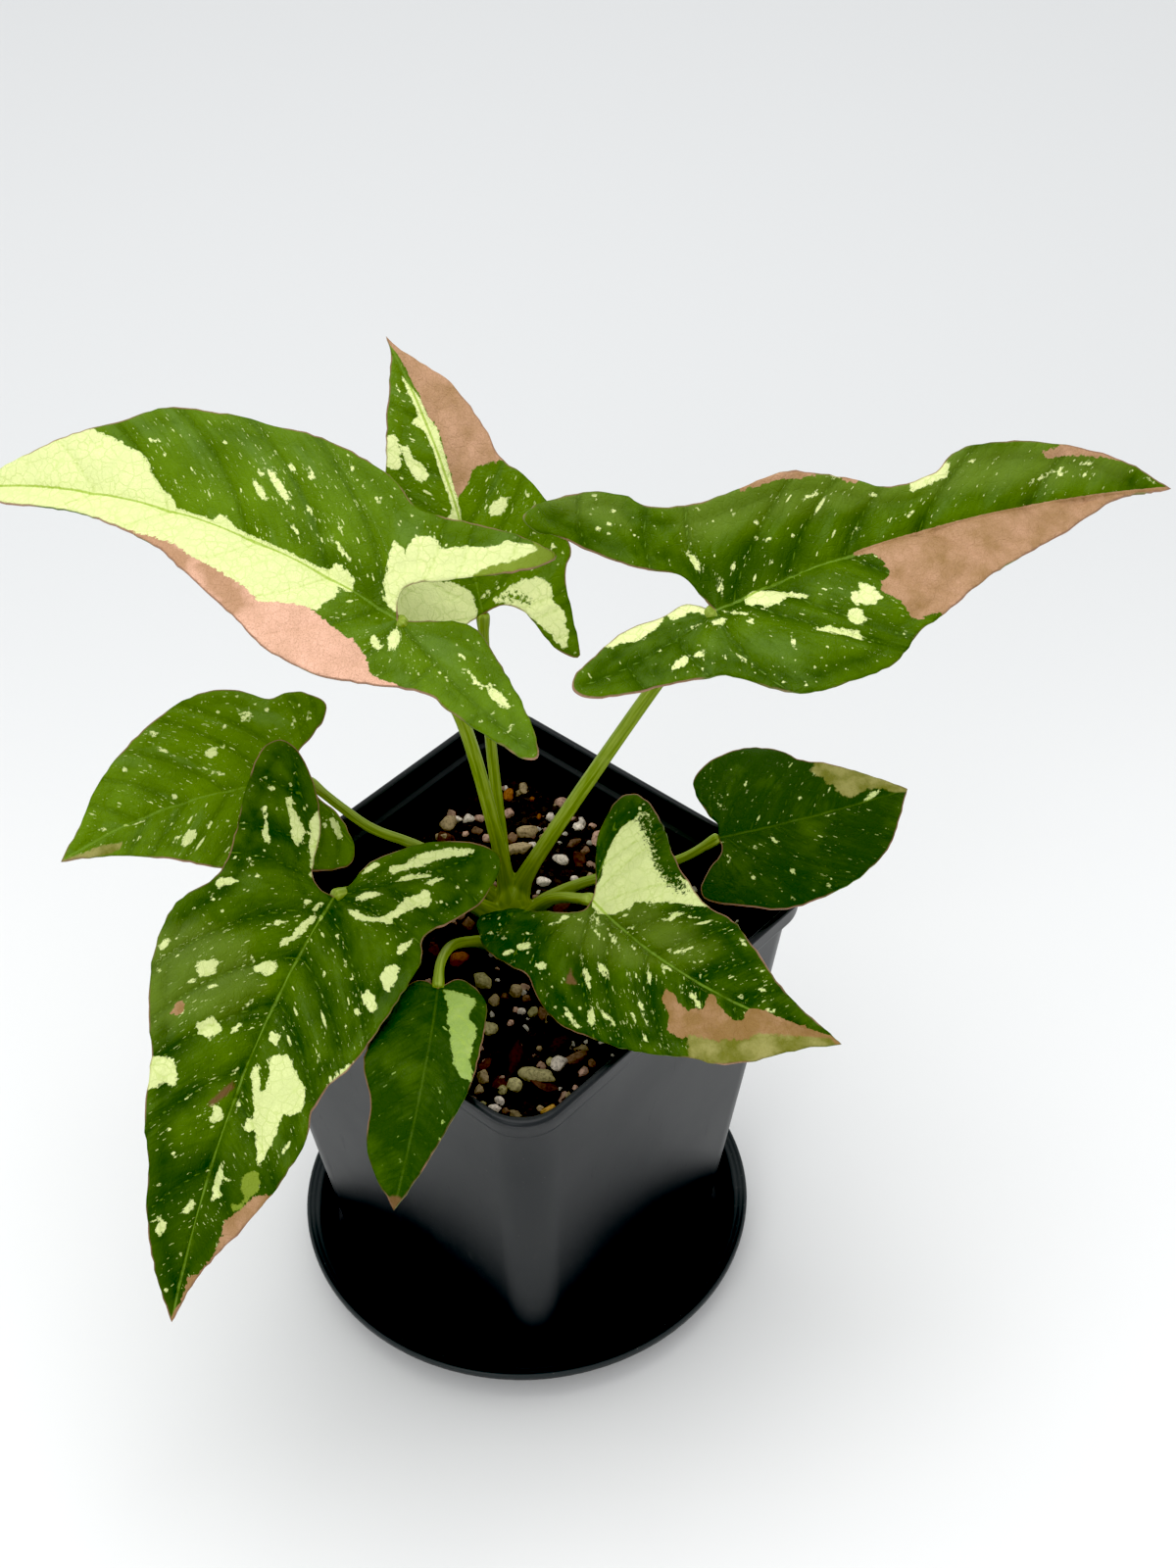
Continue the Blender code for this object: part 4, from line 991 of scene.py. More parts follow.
MARKINGS["leaf_front_left", "right"] = {
    "painted_sheen": [
        [(37.5, -34.5), (26.5, -31.5), (21, -22.5), (19, -12), (26, -3.5), (34, -7), (42.5, -19),
         (49.5, -26.5)],
    ],
    "painted_shade": [
        [(60, 0), (64, -16), (101, -8), (101, 0)],
    ],
    "cream": [
        [(15.5, -5.5), (14, -4), (10.5, -3.5), (7, -2), (6, -1), (8, -1), (12, -2), (15.5, -3.5),
         (17, -4.5)],
        [(5.5, -2.5), (4.5, -2.5), (2.5, -1.5), (2.5, -1), (4.5, -1.5), (6, -2)],
        [(29, -18.5), (27.5, -18), (26, -16), (26, -14.5), (27.5, -14), (29.5, -15), (30, -17)],
        [(24, -8), (21.5, -6.5), (19.5, -4), (21, -3), (23.5, -3.5), (24, -6)],
        [(11.5, -23.5), (10, -23), (8.5, -21), (9, -19.5), (10.5, -20.5), (12, -22.5)],
        [(38.5, -13.5), (37.5, -12), (36, -11), (37, -8.5), (38.5, -8), (40.5, -9.5), (40.5, -12),
         (39.5, -13)],
        [(-7.5, -23.5), (-8, -22.5), (-5.5, -21), (-3, -19), (-2, -18), (-1, -18.5), (-1, -19.5),
         (-2.5, -20.5), (-4.5, -21), (-6, -22.5)],
        [(-12, -20), (-13, -19), (-11, -17.5), (-10, -15.5), (-8.5, -13), (-6.5, -12.5), (-4.5, -12.5),
         (-4.5, -13.5), (-6.5, -15.5), (-9.5, -18)],
        [(-14, -12.5), (-16, -8), (-6, -5), (0, -4), (-0.5, -6), (-1, -7), (-4, -9), (-6, -10.5),
         (-8.5, -11.5), (-9.5, -13), (-11.5, -13)],
        [(48, -22), (46.5, -15), (48, -14), (51, -12.5), (52, -14), (51.5, -15), (53.5, -16.5), (55, -22)],
        [(52.5, -4.5), (52, -2.5), (53, -2), (53.5, -1), (55, -1.5), (56, -3), (55.5, -4), (54, -3.5)],
        [(63, 2), (63, 2.5), (66.5, 3.5), (67, 3), (70, 4), (70.5, 3), (71.5, 2.5), (71.5, 2), (69.5, 2),
         (67.5, 1.5), (65, 1.5)],
        [(75, -3.5), (73, -3), (71, -2), (72.5, -1), (75, -2.5), (76, -3)],
        [(79, -8), (77.5, -7.5), (77, -6), (79, -5.5), (80.5, -6.5), (79.5, -7.5)],
    ],
    "pink": [
        [(36.5, -19), (35.5, -17.5), (37, -17), (38.5, -17.5), (39, -19)],
    ],
    "brown": [
        [(52.5, -5), (48.5, -3), (46.5, -1.5), (47.5, -1), (50, -2), (52.5, -4), (53, -5.5)],
    ],
    "ovals": [
        (6, 0, 0.9, 0.4, 6), (5, -4.5, 1, 0.5, -47), (12.5, -7.5, 1.9, 0.6, -44),
        (31.5, -17.5, 1.1, 0.3, -42), (31, -13.5, 0.9, 0.3, -53), (22, -8.5, 0.4, 0.5, -61),
        (30.5, -5, 1.3, 0.5, -34), (14, -22.5, 0.8, 0.3, -53), (15, -22, 0.6, 0.3, -61),
        (27.5, -26, 1.4, 0.6, -20), (28.5, -23, 0.6, 0.4, -30), (32.5, -25, 0.4, 0.3, -75),
        (-12, -23.5, 0.7, 0.6, 66), (4, -19.5, 1, 0.5, 48), (6, -16.5, 0.7, 0.3, 73),
        (35, -7.5, 0.6, 0.3, -47), (36.5, -5.5, 2.5, 0.3, -24), (38, -17, 0.7, 0.3, 12),
        (77, -8, 0.9, 0.3, -53), (64, -8.5, 0.5, 0.4, -87), (70.5, -9.5, 0.6, 0.3, -72),
        (83.5, -1.5, 0.8, 0.3, -31), (91, -2.5, 0.4, 0.4, -58), (44.5, -2, 1, 0.3, -39),
        (50, 1, 2.4, 0.3, 1), (60, -11, 0.4, 0.3, -66), (73, 0.5, 0.7, 0.3, -16),
    ],
}
MARKINGS["leaf_back_left", "left"] = {
    "cream": [
        [(32.5, 11), (31, 9), (29.5, 7.5), (27.5, 8), (28, 9.5), (30.5, 11)],
        [(-3, 10), (-4.5, 10.5), (-5.5, 12.5), (-5.5, 16), (-4.5, 15.5), (-3.5, 13)],
    ],
    "olive": [
        [(62, -1), (55.5, 0.5), (52, 1.5), (48.5, 2), (44.5, 3.5), (45, 5), (47.5, 5), (50, 4), (50, 8),
         (62, 4)],
    ],
    "ovals": [
        (32, 8.5, 1.2, 0.4, 21), (24.5, 7.5, 1.2, 0.5, 42), (39, 0.5, 1.8, 0.3, 2), (42, 0, 0.6, 0.3, -14),
        (47, -1.5, 0.9, 0.3, -23), (20, 8.5, 0.3, 0.4, -16), (17.5, 8, 0.8, 0.3, 49),
        (-2, 12, 1.3, 0.4, -81),
    ],
}
MARKINGS["leaf_back_left", "right"] = {
    "cream": [
        [(21, -9.5), (20.5, -10.5), (18.5, -10.5), (18.5, -8.5), (19.5, -8), (21, -8.5)],
    ],
    "ovals": [
        (30, -17.5, 1, 0.5, -36), (29, -13, 2.1, 0.4, -55), (19.5, -4.5, 1.3, 0.4, -25),
        (21, -3, 0.4, 0.3, -50), (12, -17.5, 1.7, 0.4, -77), (10.5, -17.5, 1.1, 0.4, 87),
        (7, -18, 0.7, 0.5, -21), (-1.5, -15.5, 1.1, 0.4, -89), (6, -12, 0.6, 0.4, -75),
        (2, -14, 1.1, 0.3, 87), (37.5, -12, 0.8, 0.3, 82), (38.5, -7, 0.5, 0.4, -20),
        (41.5, -5, 0.6, 0.3, -54), (30, -2, 0.6, 0.4, -53), (17, -10.5, 0.5, 0.3, 78),
        (15, -13, 0.3, 0.4, -24), (18, -21.5, 0.4, 0.3, -29), (32.5, -10, 0.6, 0.3, -85),
        (16, -15, 0.8, 0.3, 46), (4, -15, 0.4, 0.3, 60),
    ],
}
MARKINGS["leaf_small_right", "left"] = {
    "olive": [
        [(26, 11.5), (27.5, 12.5), (29, 16), (40, 12), (50, 3), (50, -1), (46, -1), (42.5, 0.5), (40.5, 2),
         (38, 3), (35, 2.5), (32.5, 2), (31, 3), (30, 4.5), (30, 6.5), (28.5, 7), (28.5, 9), (27, 10)],
    ],
    "ovals": [
        (37.5, 1, 2.6, 0.6, 17), (21, 5, 0.8, 0.5, 10), (2, 8, 1, 0.5, -81), (9.5, 11.5, 1.3, 0.3, 79),
        (3, 10, 0.4, 0.3, -77), (24.5, -0.5, 1.8, 0.3, -8),
    ],
}
MARKINGS["leaf_small_right", "right"] = {
    "ovals": [
        (12, -4, 1.2, 0.4, -72), (5, -12.5, 1.2, 0.3, -86), (13.5, -13, 1, 0.4, -77),
        (6.5, -8, 0.6, 0.3, -83), (7.5, -5, 0.4, 0.3, -86), (1, -7, 1.1, 0.3, 84),
        (10, -14, 0.7, 0.3, -81), (9, -10.5, 0.4, 0.3, -54), (19.5, -19, 0.5, 0.4, -33),
        (12, -19.5, 0.5, 0.3, 83), (0.5, -1.5, 0.5, 0.3, -32), (20.5, -17.5, 0.4, 0.3, -90),
        (25, -18.5, 0.4, 0.3, 80),
    ],
}
MARKINGS["leaf_small_front", "left"] = {
    "cream": [
        [(0.5, 1), (0.5, 3), (1.5, 6), (2.5, 8.5), (4.5, 8.5), (6, 7.5), (7.5, 7.5), (8.5, 9), (9.5, 9.5),
         (11.5, 9.5), (13, 9), (14, 9.5), (15.5, 9), (17, 9), (19, 10), (21, 10.5), (21.5, 10), (21, 9),
         (20, 7), (18, 6), (16, 5), (11.5, 4), (8, 3), (4.5, 2.5)],
    ],
    "ovals": [
        (24, 4, 0.7, 0.3, 14), (30.5, 6, 1, 0.3, 83), (34, 6, 0.5, 0.3, -43), (40, -1, 0.4, 0.3, 30),
    ],
    "brown": [
        [(47.6, -2), (47, 0), (47.8, 3), (54, 3), (54, -2)],
    ],
}
MARKINGS["leaf_small_front", "right"] = {
    "brown": [
        [(48.9, 2), (48.6, 0), (48.4, -3), (54, -3), (54, 2)],
    ],
}
MARK_REACH = 6.0
OPEN_JOINT = 1.0


def patch_depth(points, outline):
    """How far each point lies inside an outline; negative outside."""
    outline = np.array(outline, float)
    away = distance_to_path(points, outline, closed=True)
    return np.where(inside(outline, points), away, -away)


def oval_depth(points, oval):
    """The same for an oval: x, y, half length, half width and turn in degrees."""
    x, y, long_half, short_half, angle = oval
    c, s = cos(radians(angle)), sin(radians(angle))
    along = (points[:, 0] - x) * c + (points[:, 1] - y) * s
    across = (points[:, 1] - y) * c - (points[:, 0] - x) * s
    size = np.sqrt((along / long_half) ** 2 + (across / short_half) ** 2)
    return (1 - size) * min(long_half, short_half)


def mark_depth(name, kind, key, points):
    """Depth in the marks of one kind. Those of the other half count ahead of the joint."""
    depth = np.full(len(points), -MARK_REACH)
    for (leaf, half), marks in MARKINGS.items():
        if leaf != name:
            continue
        found = [patch_depth(points, outline) for outline in marks.get(kind, [])]
        if kind == "cream":
            found += [oval_depth(points, oval) for oval in marks.get("ovals", [])]
        counts = (half == key) | (points[:, 0] > OPEN_JOINT)
        for values in found:
            depth = np.where(counts, np.maximum(depth, values), depth)
    return np.clip(depth, -MARK_REACH, MARK_REACH)


print("marked halves of blades:", len(MARKINGS))

# %% [markdown]
# Now a blade is put together. Each half's net is bent into place, the halves are merged along
# the midrib, and the surface is pressed in along the veins and raised between them, as quilted
# leaves are. A thin vein just inside the edge gathers the others. Solidify then gives the
# blade a thin wall with its own material below and on the edge.

# %% Blade builder
BLADE_WALL = 0.5
EDGE_VEIN_PLACE = 3.4
EDGE_VEIN_DEPTH = 0.5
SECTOR_RADIUS = 14.0
HALVES_APART = 200.0
# Of these kinds, sheen and shade are painted sheen and painted shade, and tan is painted shade on the pink.
MARK_KINDS = ("cream", "pink", "tan", "olive", "lime", "brown", "green", "painted_sheen", "painted_shade")
VEIN_FIELDS = ("lateral", "midrib", "edge")
# How light each blade's green, cream and pink are, which is partly the blade's own colour and
# partly painted shade on blades that lie lower or turn away from the light; how thickly it is
# speckled; and how strongly its surface is quilted, in the mesh and in the painted light and
# shade of its quilting.
TONES = {
    "leaf_upper_left": (0.50, 0.82, 0.80, 1.00, 0.7),
    "leaf_back": (0.50, 0.88, 0.32, 0.90, 0.6),
    "leaf_right": (0.30, 0.88, 0.24, 0.50, 1.1),
    "leaf_small_right": (0.00, 0.55, 0.10, 0.35, 0.3),
    "leaf_centre": (0.10, 0.68, 0.03, 1.00, 1.1),
    "leaf_small_front": (0.02, 0.02, 0.05, 0.15, 0.25),
    "leaf_front_left": (0.18, 0.70, 0.15, 0.85, 1.1),
    "leaf_back_left": (0.54, 0.72, 0.25, 1.00, 0.7),
}


def flow_coordinates(flat, side):
    """Along and across the side veins: specks and streaks follow these."""
    out = np.abs(flat[:, 1])
    across = flat[:, 0] - VEIN_LEAN * out - VEIN_BOW * out ** 2
    reach = np.hypot(flat[:, 0], flat[:, 1])
    angle = np.arctan2(-flat[:, 0], out + 1e-6)
    along = np.where(across >= 0, out, reach)
    turned = angle + np.arctan(VEIN_LEAN + VEIN_BOW * out)
    across = np.where(across >= 0, across, -SECTOR_RADIUS * turned)
    return np.column_stack([along, across + HALVES_APART * side, 0 * along])


def vein_distances(blade, key, flat, rim):
    """How far each point is from the nearest side vein, from the midrib and from the rim."""
    lateral = np.full(len(flat), np.inf)
    for vein in half_veins(blade, key):
        lateral = np.minimum(lateral, distance_to_path(flat, vein))
    midrib = distance_to_path(flat, np.array([(0.0, 0.0), (blade["length"], 0.0)]))
    edge = distance_to_path(flat, rim)
    lateral = np.minimum(lateral, EDGE_VEIN_DEPTH + np.abs(edge - EDGE_VEIN_PLACE))
    return [lateral, midrib, edge]


def quilt(mesh, relief):
    """Merge the halves, then press the surface in along the veins and raise it between."""
    bm = bmesh.new()
    bm.from_mesh(mesh)
    bmesh.ops.remove_doubles(bm, verts=bm.verts, dist=0.01 * MM)
    bm.normal_update()
    layers = [bm.verts.layers.float[field] for field in VEIN_FIELDS]
    for v in bm.verts:
        lateral, midrib, edge = (v[layer] for layer in layers)
        groove = 0.45 * np.exp(-(midrib / 1.1) ** 2) + 0.40 * np.exp(-(lateral / 0.7) ** 2)
        cushion = 0.95 * (1 - np.exp(-(lateral / 3.6) ** 2))
        v.co += v.normal * float(min(1.0, edge / 3.0) * relief * (cushion - groove)) * MM
    bm.to_mesh(mesh)
    bm.free()


def build_blade(name, materials):
    blade = BLADES[name]
    places, triangles, fields, flats, flows = [], [], [], [], []
    for side, key in enumerate(("left", "right")):
        flat, faces, rim = half_net(blade, key)
        triangles += shifted(faces, sum(len(p) for p in places))
        places.append(blade_points(blade, flat, side))
        marks = [mark_depth(name, kind, key, flat) for kind in MARK_KINDS]
        fields.append(np.column_stack(vein_distances(blade, key, flat, rim) + marks))
        flats.append(np.column_stack([flat, 0 * flat[:, 0]]))
        flows.append(flow_coordinates(flat, side))
    obj = mesh_object(name.replace("leaf", "blade"), np.vstack(places), triangles, materials)
    for field, values in zip(VEIN_FIELDS + MARK_KINDS, np.vstack(fields).T):
        store(obj.data, field, values)
    count = len(obj.data.vertices)
    *tone, specks, relief = TONES[name]
    store(obj.data, "specks", np.full(count, specks))
    store(obj.data, "relief", np.full(count, relief))
    store(obj.data, "flat", np.vstack(flats))
    store(obj.data, "flow", np.vstack(flows))
    store(obj.data, "tone", np.tile(tone, (count, 1)))
    quilt(obj.data, relief)
    solid = obj.modifiers.new("wall", "SOLIDIFY")
    solid.thickness = BLADE_WALL * MM
    solid.offset = -1.0
    solid.material_offset = 1
    solid.material_offset_rim = 2
    return baked(obj)


print("marks that a blade's points store:", ", ".join(MARK_KINDS))

# %% [markdown]
# The upper side of a blade is mixed in three layers. Green comes first: painted shade in the
# creases and painted light on the cushions between them, silvery streaks that are partly the
# plant's own grey-green and partly painted sheen, thin pale lines on the veins, and patches of
# painted sheen and painted shade. Cream and pink follow from the stored depths, with a tan patch
# of painted shade on one pink, and pale specks from cells stretched along the veins. A leaf
# shines softly, so the roughness is middling, and a net of the finest veins gives the bump.

# %% Blade materials
DARK_GREEN = (0.015, 0.046, 0.0005, 1.0)
LIGHT_GREEN = (0.165, 0.290, 0.014, 1.0)
VEIN_GREEN = (0.23, 0.38, 0.05, 1.0)
SILVER_AND_SHEEN_GREEN = (0.13, 0.22, 0.045, 1.0)
PAINTED_SHEEN_GREEN = (0.18, 0.26, 0.038, 1.0)
CREASE_SHADE_GREEN = (0.010, 0.036, 0.001, 1.0)
NET_GREEN = (0.36, 0.50, 0.07, 1.0)
DIM_CREAM = (0.27, 0.39, 0.09, 1.0)
CREAM = (0.86, 0.91, 0.43, 1.0)
TAN = (0.28, 0.165, 0.058, 1.0)
TAN_SHADE = (0.33, 0.18, 0.075, 1.0)
PINK = (0.90, 0.53, 0.385, 1.0)
OLIVE = (0.15, 0.155, 0.020, 1.0)
PALE_OLIVE = (0.31, 0.29, 0.09, 1.0)
BROWN = (0.14, 0.08, 0.03, 1.0)
GRAIN_BROWN = (0.24, 0.12, 0.055, 1.0)
LIME = (0.20, 0.275, 0.03, 1.0)
RIM_BROWN = (0.30, 0.17, 0.11, 1.0)
RIM_TAN = (0.42, 0.24, 0.16, 1.0)
RIM_GREEN = (0.10, 0.16, 0.02, 1.0)
UNDER_GREEN = (0.11, 0.21, 0.03, 1.0)
UNDER_LIGHT = (0.20, 0.31, 0.07, 1.0)
UNDER_VEIN = (0.32, 0.44, 0.14, 1.0)
UNDER_CREAM = (0.62, 0.68, 0.38, 1.0)
UNDER_PINK = (0.50, 0.32, 0.20, 1.0)


def speck_layer(tree, vector, scale, density, largest):
    """A share of the cells hold a speck; its size is drawn with the cell."""
    cells = add_node(tree, "ShaderNodeTexVoronoi", {"Vector": vector, "Scale": scale}).outputs
    chance = add_node(tree, "ShaderNodeSeparateColor", {"Color": cells["Color"]}).outputs[0]
    above_empty = calc(tree, "SUBTRACT", chance, calc(tree, "SUBTRACT", 1.0, density))
    share = calc(tree, "DIVIDE", above_empty, density, clamp=True)
    grown = adjust(tree, calc(tree, "POWER", share, 3.0), 0.75 * largest, 0.25 * largest)
    chosen = calc(tree, "GREATER_THAN", share, 0.0)
    return calc(tree, "SUBTRACT", times(tree, grown, chosen), cells["Distance"])


def cell_walls(tree, place, scale, wide, narrow):
    inputs = {"Vector": place, "Scale": scale}
    cells = add_node(tree, "ShaderNodeTexVoronoi", inputs, feature="DISTANCE_TO_EDGE")
    return step_up(tree, cells.outputs["Distance"], wide, narrow)


def blade_net(tree, flat):
    """The finest veins: cell walls at two sizes."""
    place = calc_vector(tree, "ADD", flat, noise(tree, flat, 0.9, 2.0, output="Color"))
    big = cell_walls(tree, place, 0.42, 0.085, 0.01)
    small = cell_walls(tree, place, 1.25, 0.12, 0.02)
    return calc(tree, "MAXIMUM", big, times(tree, small, 0.45))


def blade_patterns(tree):
    """The stored values and the noises that several layers of a blade's upper side share."""
    flat = attribute(tree, "flat", "Vector")
    along = stretch(tree, attribute(tree, "flow", "Vector"), (0.36, 1.0, 1.0))
    cover = noise(tree, flat, 0.16, 4.0, 0.6)
    return {
        "flat": flat, "along": along, "cover": cover, "net": blade_net(tree, flat),
        "tone": split(tree, attribute(tree, "tone", "Vector")),
        "lateral": attribute(tree, "lateral"), "midrib": attribute(tree, "midrib"),
        "grain": noise(tree, along, 0.8, 4.0, 0.6), "fine": noise(tree, flat, 3.2, 3.0, 0.7),
        "drift": adjust(tree, cover, 8.0, -4.0),
    }


def soft_patch(tree, kind, drift, reach, strength):
    """A stored patch with an edge that fades over twice its reach."""
    return times(tree, step_up(tree, plus(tree, attribute(tree, kind), drift), -reach, reach), strength)


def green_layer(tree, look):
    along, cover, grain, drift = (look[key] for key in ("along", "cover", "grain", "drift"))
    lateral, midrib, tone = look["lateral"], look["midrib"], look["tone"]
    relief = attribute(tree, "relief")
    light = plus(tree, tone[0], adjust(tree, noise(tree, look["flat"], 0.07, 3.0), 0.70, -0.35))
    # Painted light and shade of the quilting: lighter on the cushions between the side veins, darker close
    # to them.
    painted_quilt_shading = adjust(tree, step_up(tree, lateral, 0.0, 4.0), 0.36, -0.20)
    painted_quilt_shading = times(tree, painted_quilt_shading, times(tree, cover, 0.9))
    light = plus(tree, light, times(tree, painted_quilt_shading, relief))
    light = plus(tree, light, adjust(tree, grain, 0.34, -0.17), clamp=True)
    green = blend_colors(tree, light, DARK_GREEN, LIGHT_GREEN)
    # Silvery streaks: partly the plant's own grey-green, partly painted sheen.
    silver_and_sheen = plus(tree, noise(tree, along, 0.13, 3.0, 0.6), times(tree, grain, 0.16))
    silver_and_sheen = times(tree, step_up(tree, silver_and_sheen, 0.56, 0.74), adjust(tree, tone[0], 0.50, 0.07))
    green = blend_colors(tree, silver_and_sheen, green, SILVER_AND_SHEEN_GREEN)
    # Patches of painted sheen and painted shade, placed on single blades.
    green = blend_colors(tree, soft_patch(tree, "painted_sheen", drift, 3.5, 0.42), green, PAINTED_SHEEN_GREEN)
    green = blend_colors(tree, soft_patch(tree, "painted_shade", drift, 3.5, 0.55), green, DARK_GREEN)
    # Painted shade in the creases along the side veins.
    painted_crease_shade = times(tree, step_up(tree, lateral, 0.9, 0.2), times(tree, cover, 0.50))
    green = blend_colors(tree, painted_crease_shade, green, CREASE_SHADE_GREEN)
    thin = times(tree, step_up(tree, cover, 0.30, 0.55), relief)
    for vein, half_width, strength in ((midrib, 0.36, 0.48), (lateral, 0.26, 0.30)):
        line = times(tree, step_up(tree, vein, half_width, 0.10), times(tree, thin, strength))
        green = blend_colors(tree, line, green, VEIN_GREEN)
    return green


def veined_share(tree, look):
    """How much of the finest veins, the side veins and the midrib shows on the pale patches."""
    fine_veins = times(tree, look["net"], step_up(tree, look["cover"], 0.28, 0.62))
    side_lines = times(tree, step_up(tree, look["lateral"], 0.5, 0.1), 0.30)
    middle_line = times(tree, step_up(tree, look["midrib"], 0.40, 0.12), 0.85)
    lines = calc(tree, "MAXIMUM", side_lines, middle_line)
    return plus(tree, times(tree, fine_veins, 0.36), lines, clamp=True)


def cream_layer(tree, look, veined):
    clear = plus(tree, look["tone"][1], adjust(tree, look["cover"], 0.5, -0.25), clamp=True)
    return blend_colors(tree, veined, blend_colors(tree, clear, DIM_CREAM, CREAM), NET_GREEN)


def pink_layer(tree, look, veined):
    rosy = plus(tree, look["tone"][2], adjust(tree, look["cover"], 0.9, -0.45), clamp=True)
    pink = blend_colors(tree, rosy, TAN, PINK)
    # Painted shade: the tan patch darkens the pink where the blade turns away from the light.
    pink = blend_colors(tree, soft_patch(tree, "tan", look["drift"], 1.5, 0.65), pink, TAN_SHADE)
    pink = blend_colors(tree, times(tree, veined, 0.45), pink, TAN)
    stipple = times(tree, step_up(tree, look["fine"], 0.48, 0.66), 0.42)
    return blend_colors(tree, stipple, pink, GRAIN_BROWN)


def speck_share(tree, look):
    """Specks in three sizes: dust and dots are round, and the largest are drawn out."""
    flat = look["flat"]
    wobble = calc_vector(tree, "SCALE", noise(tree, flat, 1.6, 2.0, output="Color"), 0.5)
    wobbly = calc_vector(tree, "ADD", look["along"], wobble)
    rounder = stretch(tree, wobbly, (1.7, 1.0, 1.0))
    crowded = step_up(tree, noise(tree, flat, 0.11, 3.0), 0.30, 0.62)
    density = times(tree, attribute(tree, "specks"), crowded)
    dust = speck_layer(tree, rounder, 2.2, times(tree, density, 0.50), 0.42)
    dots = speck_layer(tree, rounder, 0.95, times(tree, density, 0.34), 0.30)
    streaks = speck_layer(tree, wobbly, 0.45, times(tree, density, 0.12), 0.24)
    faint = times(tree, step_up(tree, dust, -0.04, 0.08), 0.68)
    clear = step_up(tree, calc(tree, "MAXIMUM", dots, streaks), -0.04, 0.06)
    specks = calc(tree, "MAXIMUM", faint, clear)
    return times(tree, specks, step_up(tree, attribute(tree, "edge"), 0.4, 1.4))


def browned_share(tree):
    """Where the rim of a blade has gone brown."""
    return step_up(tree, noise(tree, object_mm(tree), 0.06, 3.0, 0.6), 0.42, 0.56)


def torn_patch(tree, kind, rough, reach=0.06):
    """A stored patch whose edge is torn by a noise."""
    return step_up(tree, plus(tree, attribute(tree, kind), rough), -reach, reach)


def marked_color(tree, look):
    """The green with its specks, and then each kind of patch upon it."""
    flat, cover = look["flat"], look["cover"]
    veined = veined_share(tree, look)
    cream = cream_layer(tree, look, veined)
    calm = step_up(tree, look["midrib"], 0.15, 1.6)
    torn = times(tree, adjust(tree, noise(tree, flat, 0.8, 5.0, 0.68), 2.2, -1.1), calm)
    streaky = adjust(tree, noise(tree, look["along"], 0.9, 4.0, 0.65), 1.4, -0.7)
    ragged = plus(tree, torn, times(tree, streaky, calm))
    bitten = adjust(tree, step_up(tree, look["fine"], 0.52, 0.70), -0.8, ragged)
    crumbled = adjust(tree, noise(tree, flat, 1.3, 4.0, 0.75), 9.0, -4.5)
    not_green = calc(tree, "SUBTRACT", 1.0, torn_patch(tree, "green", crumbled, 0.5))
    cream_share = times(tree, torn_patch(tree, "cream", bitten, 0.12), not_green)
    olive = blend_colors(tree, step_up(tree, cover, 0.35, 0.65), OLIVE, PALE_OLIVE)
    color = blend_colors(tree, times(tree, speck_share(tree, look), 0.85), green_layer(tree, look), cream)
    for share, paint in (
        (cream_share, cream),
        (torn_patch(tree, "pink", ragged), pink_layer(tree, look, veined)),
        (torn_patch(tree, "olive", ragged, 0.3), olive),
        (torn_patch(tree, "lime", ragged, 0.2), LIME),
        (torn_patch(tree, "brown", torn, 0.4), BROWN),
    ):
        color = blend_colors(tree, share, color, paint)
    return color


def blade_top():
    mat, tree, shader = new_material("blade_top", IOR=1.45, Specular_IOR_Level=0.17)
    look = blade_patterns(tree)
    rim = step_up(tree, attribute(tree, "edge"), 0.36, 0.14)
    rim = times(tree, rim, times(tree, browned_share(tree), 0.8))
    hook(tree, blend_colors(tree, rim, marked_color(tree, look), RIM_BROWN), shader, "Base Color")
    hook(tree, adjust(tree, look["grain"], 0.2, 0.34), shader, "Roughness")
    height = plus(tree, times(tree, look["net"], -0.7), noise(tree, look["flat"], 1.7, 3.0))
    bump(tree, shader, height, 0.5, 0.25)
    return mat


def blade_under():
    mat, tree, shader = new_material("blade_under", Roughness=0.6, Specular_IOR_Level=0.2)
    flat = attribute(tree, "flat", "Vector")
    color = blend_colors(tree, noise(tree, flat, 0.12, 3.0), UNDER_GREEN, UNDER_LIGHT)
    near_vein = plus(tree, step_up(tree, attribute(tree, "lateral"), 0.8, 0.1),
                     step_up(tree, attribute(tree, "midrib"), 1.3, 0.4), clamp=True)
    color = blend_colors(tree, times(tree, near_vein, 0.6), color, UNDER_VEIN)
    for kind, paint in (("cream", UNDER_CREAM), ("pink", UNDER_PINK)):
        share = times(tree, step_up(tree, attribute(tree, kind), -0.2, 0.2), 0.85)
        color = blend_colors(tree, share, color, paint)
    hook(tree, color, shader, "Base Color")
    bump(tree, shader, blade_net(tree, flat), 0.5, 0.2)
    return mat


def blade_rim():
    mat, tree, shader = new_material("blade_rim", Roughness=0.55)
    brown = blend_colors(tree, noise(tree, object_mm(tree), 0.5, 2.0), RIM_BROWN, RIM_TAN)
    hook(tree, blend_colors(tree, browned_share(tree), RIM_GREEN, brown), shader, "Base Color")
    return mat


blade_materials = [blade_top(), blade_under(), blade_rim()]
print("blade materials:", [m.name for m in blade_materials])

# %% Blades
for name in BLADES:
    dress(build_blade(name, blade_materials), "leaf", name)

# %% [markdown]
# The stalks. Each blade hangs on a petiole that rises from one crown; at its foot it is wide,
# where it clasps the crown like a sheath, and just under the blade it swells to a knuckle. A
# ring of points is carried along each path, and its width follows a rule. A voxel remesh then
# grows all the shells together and a little smoothing rounds the forks.

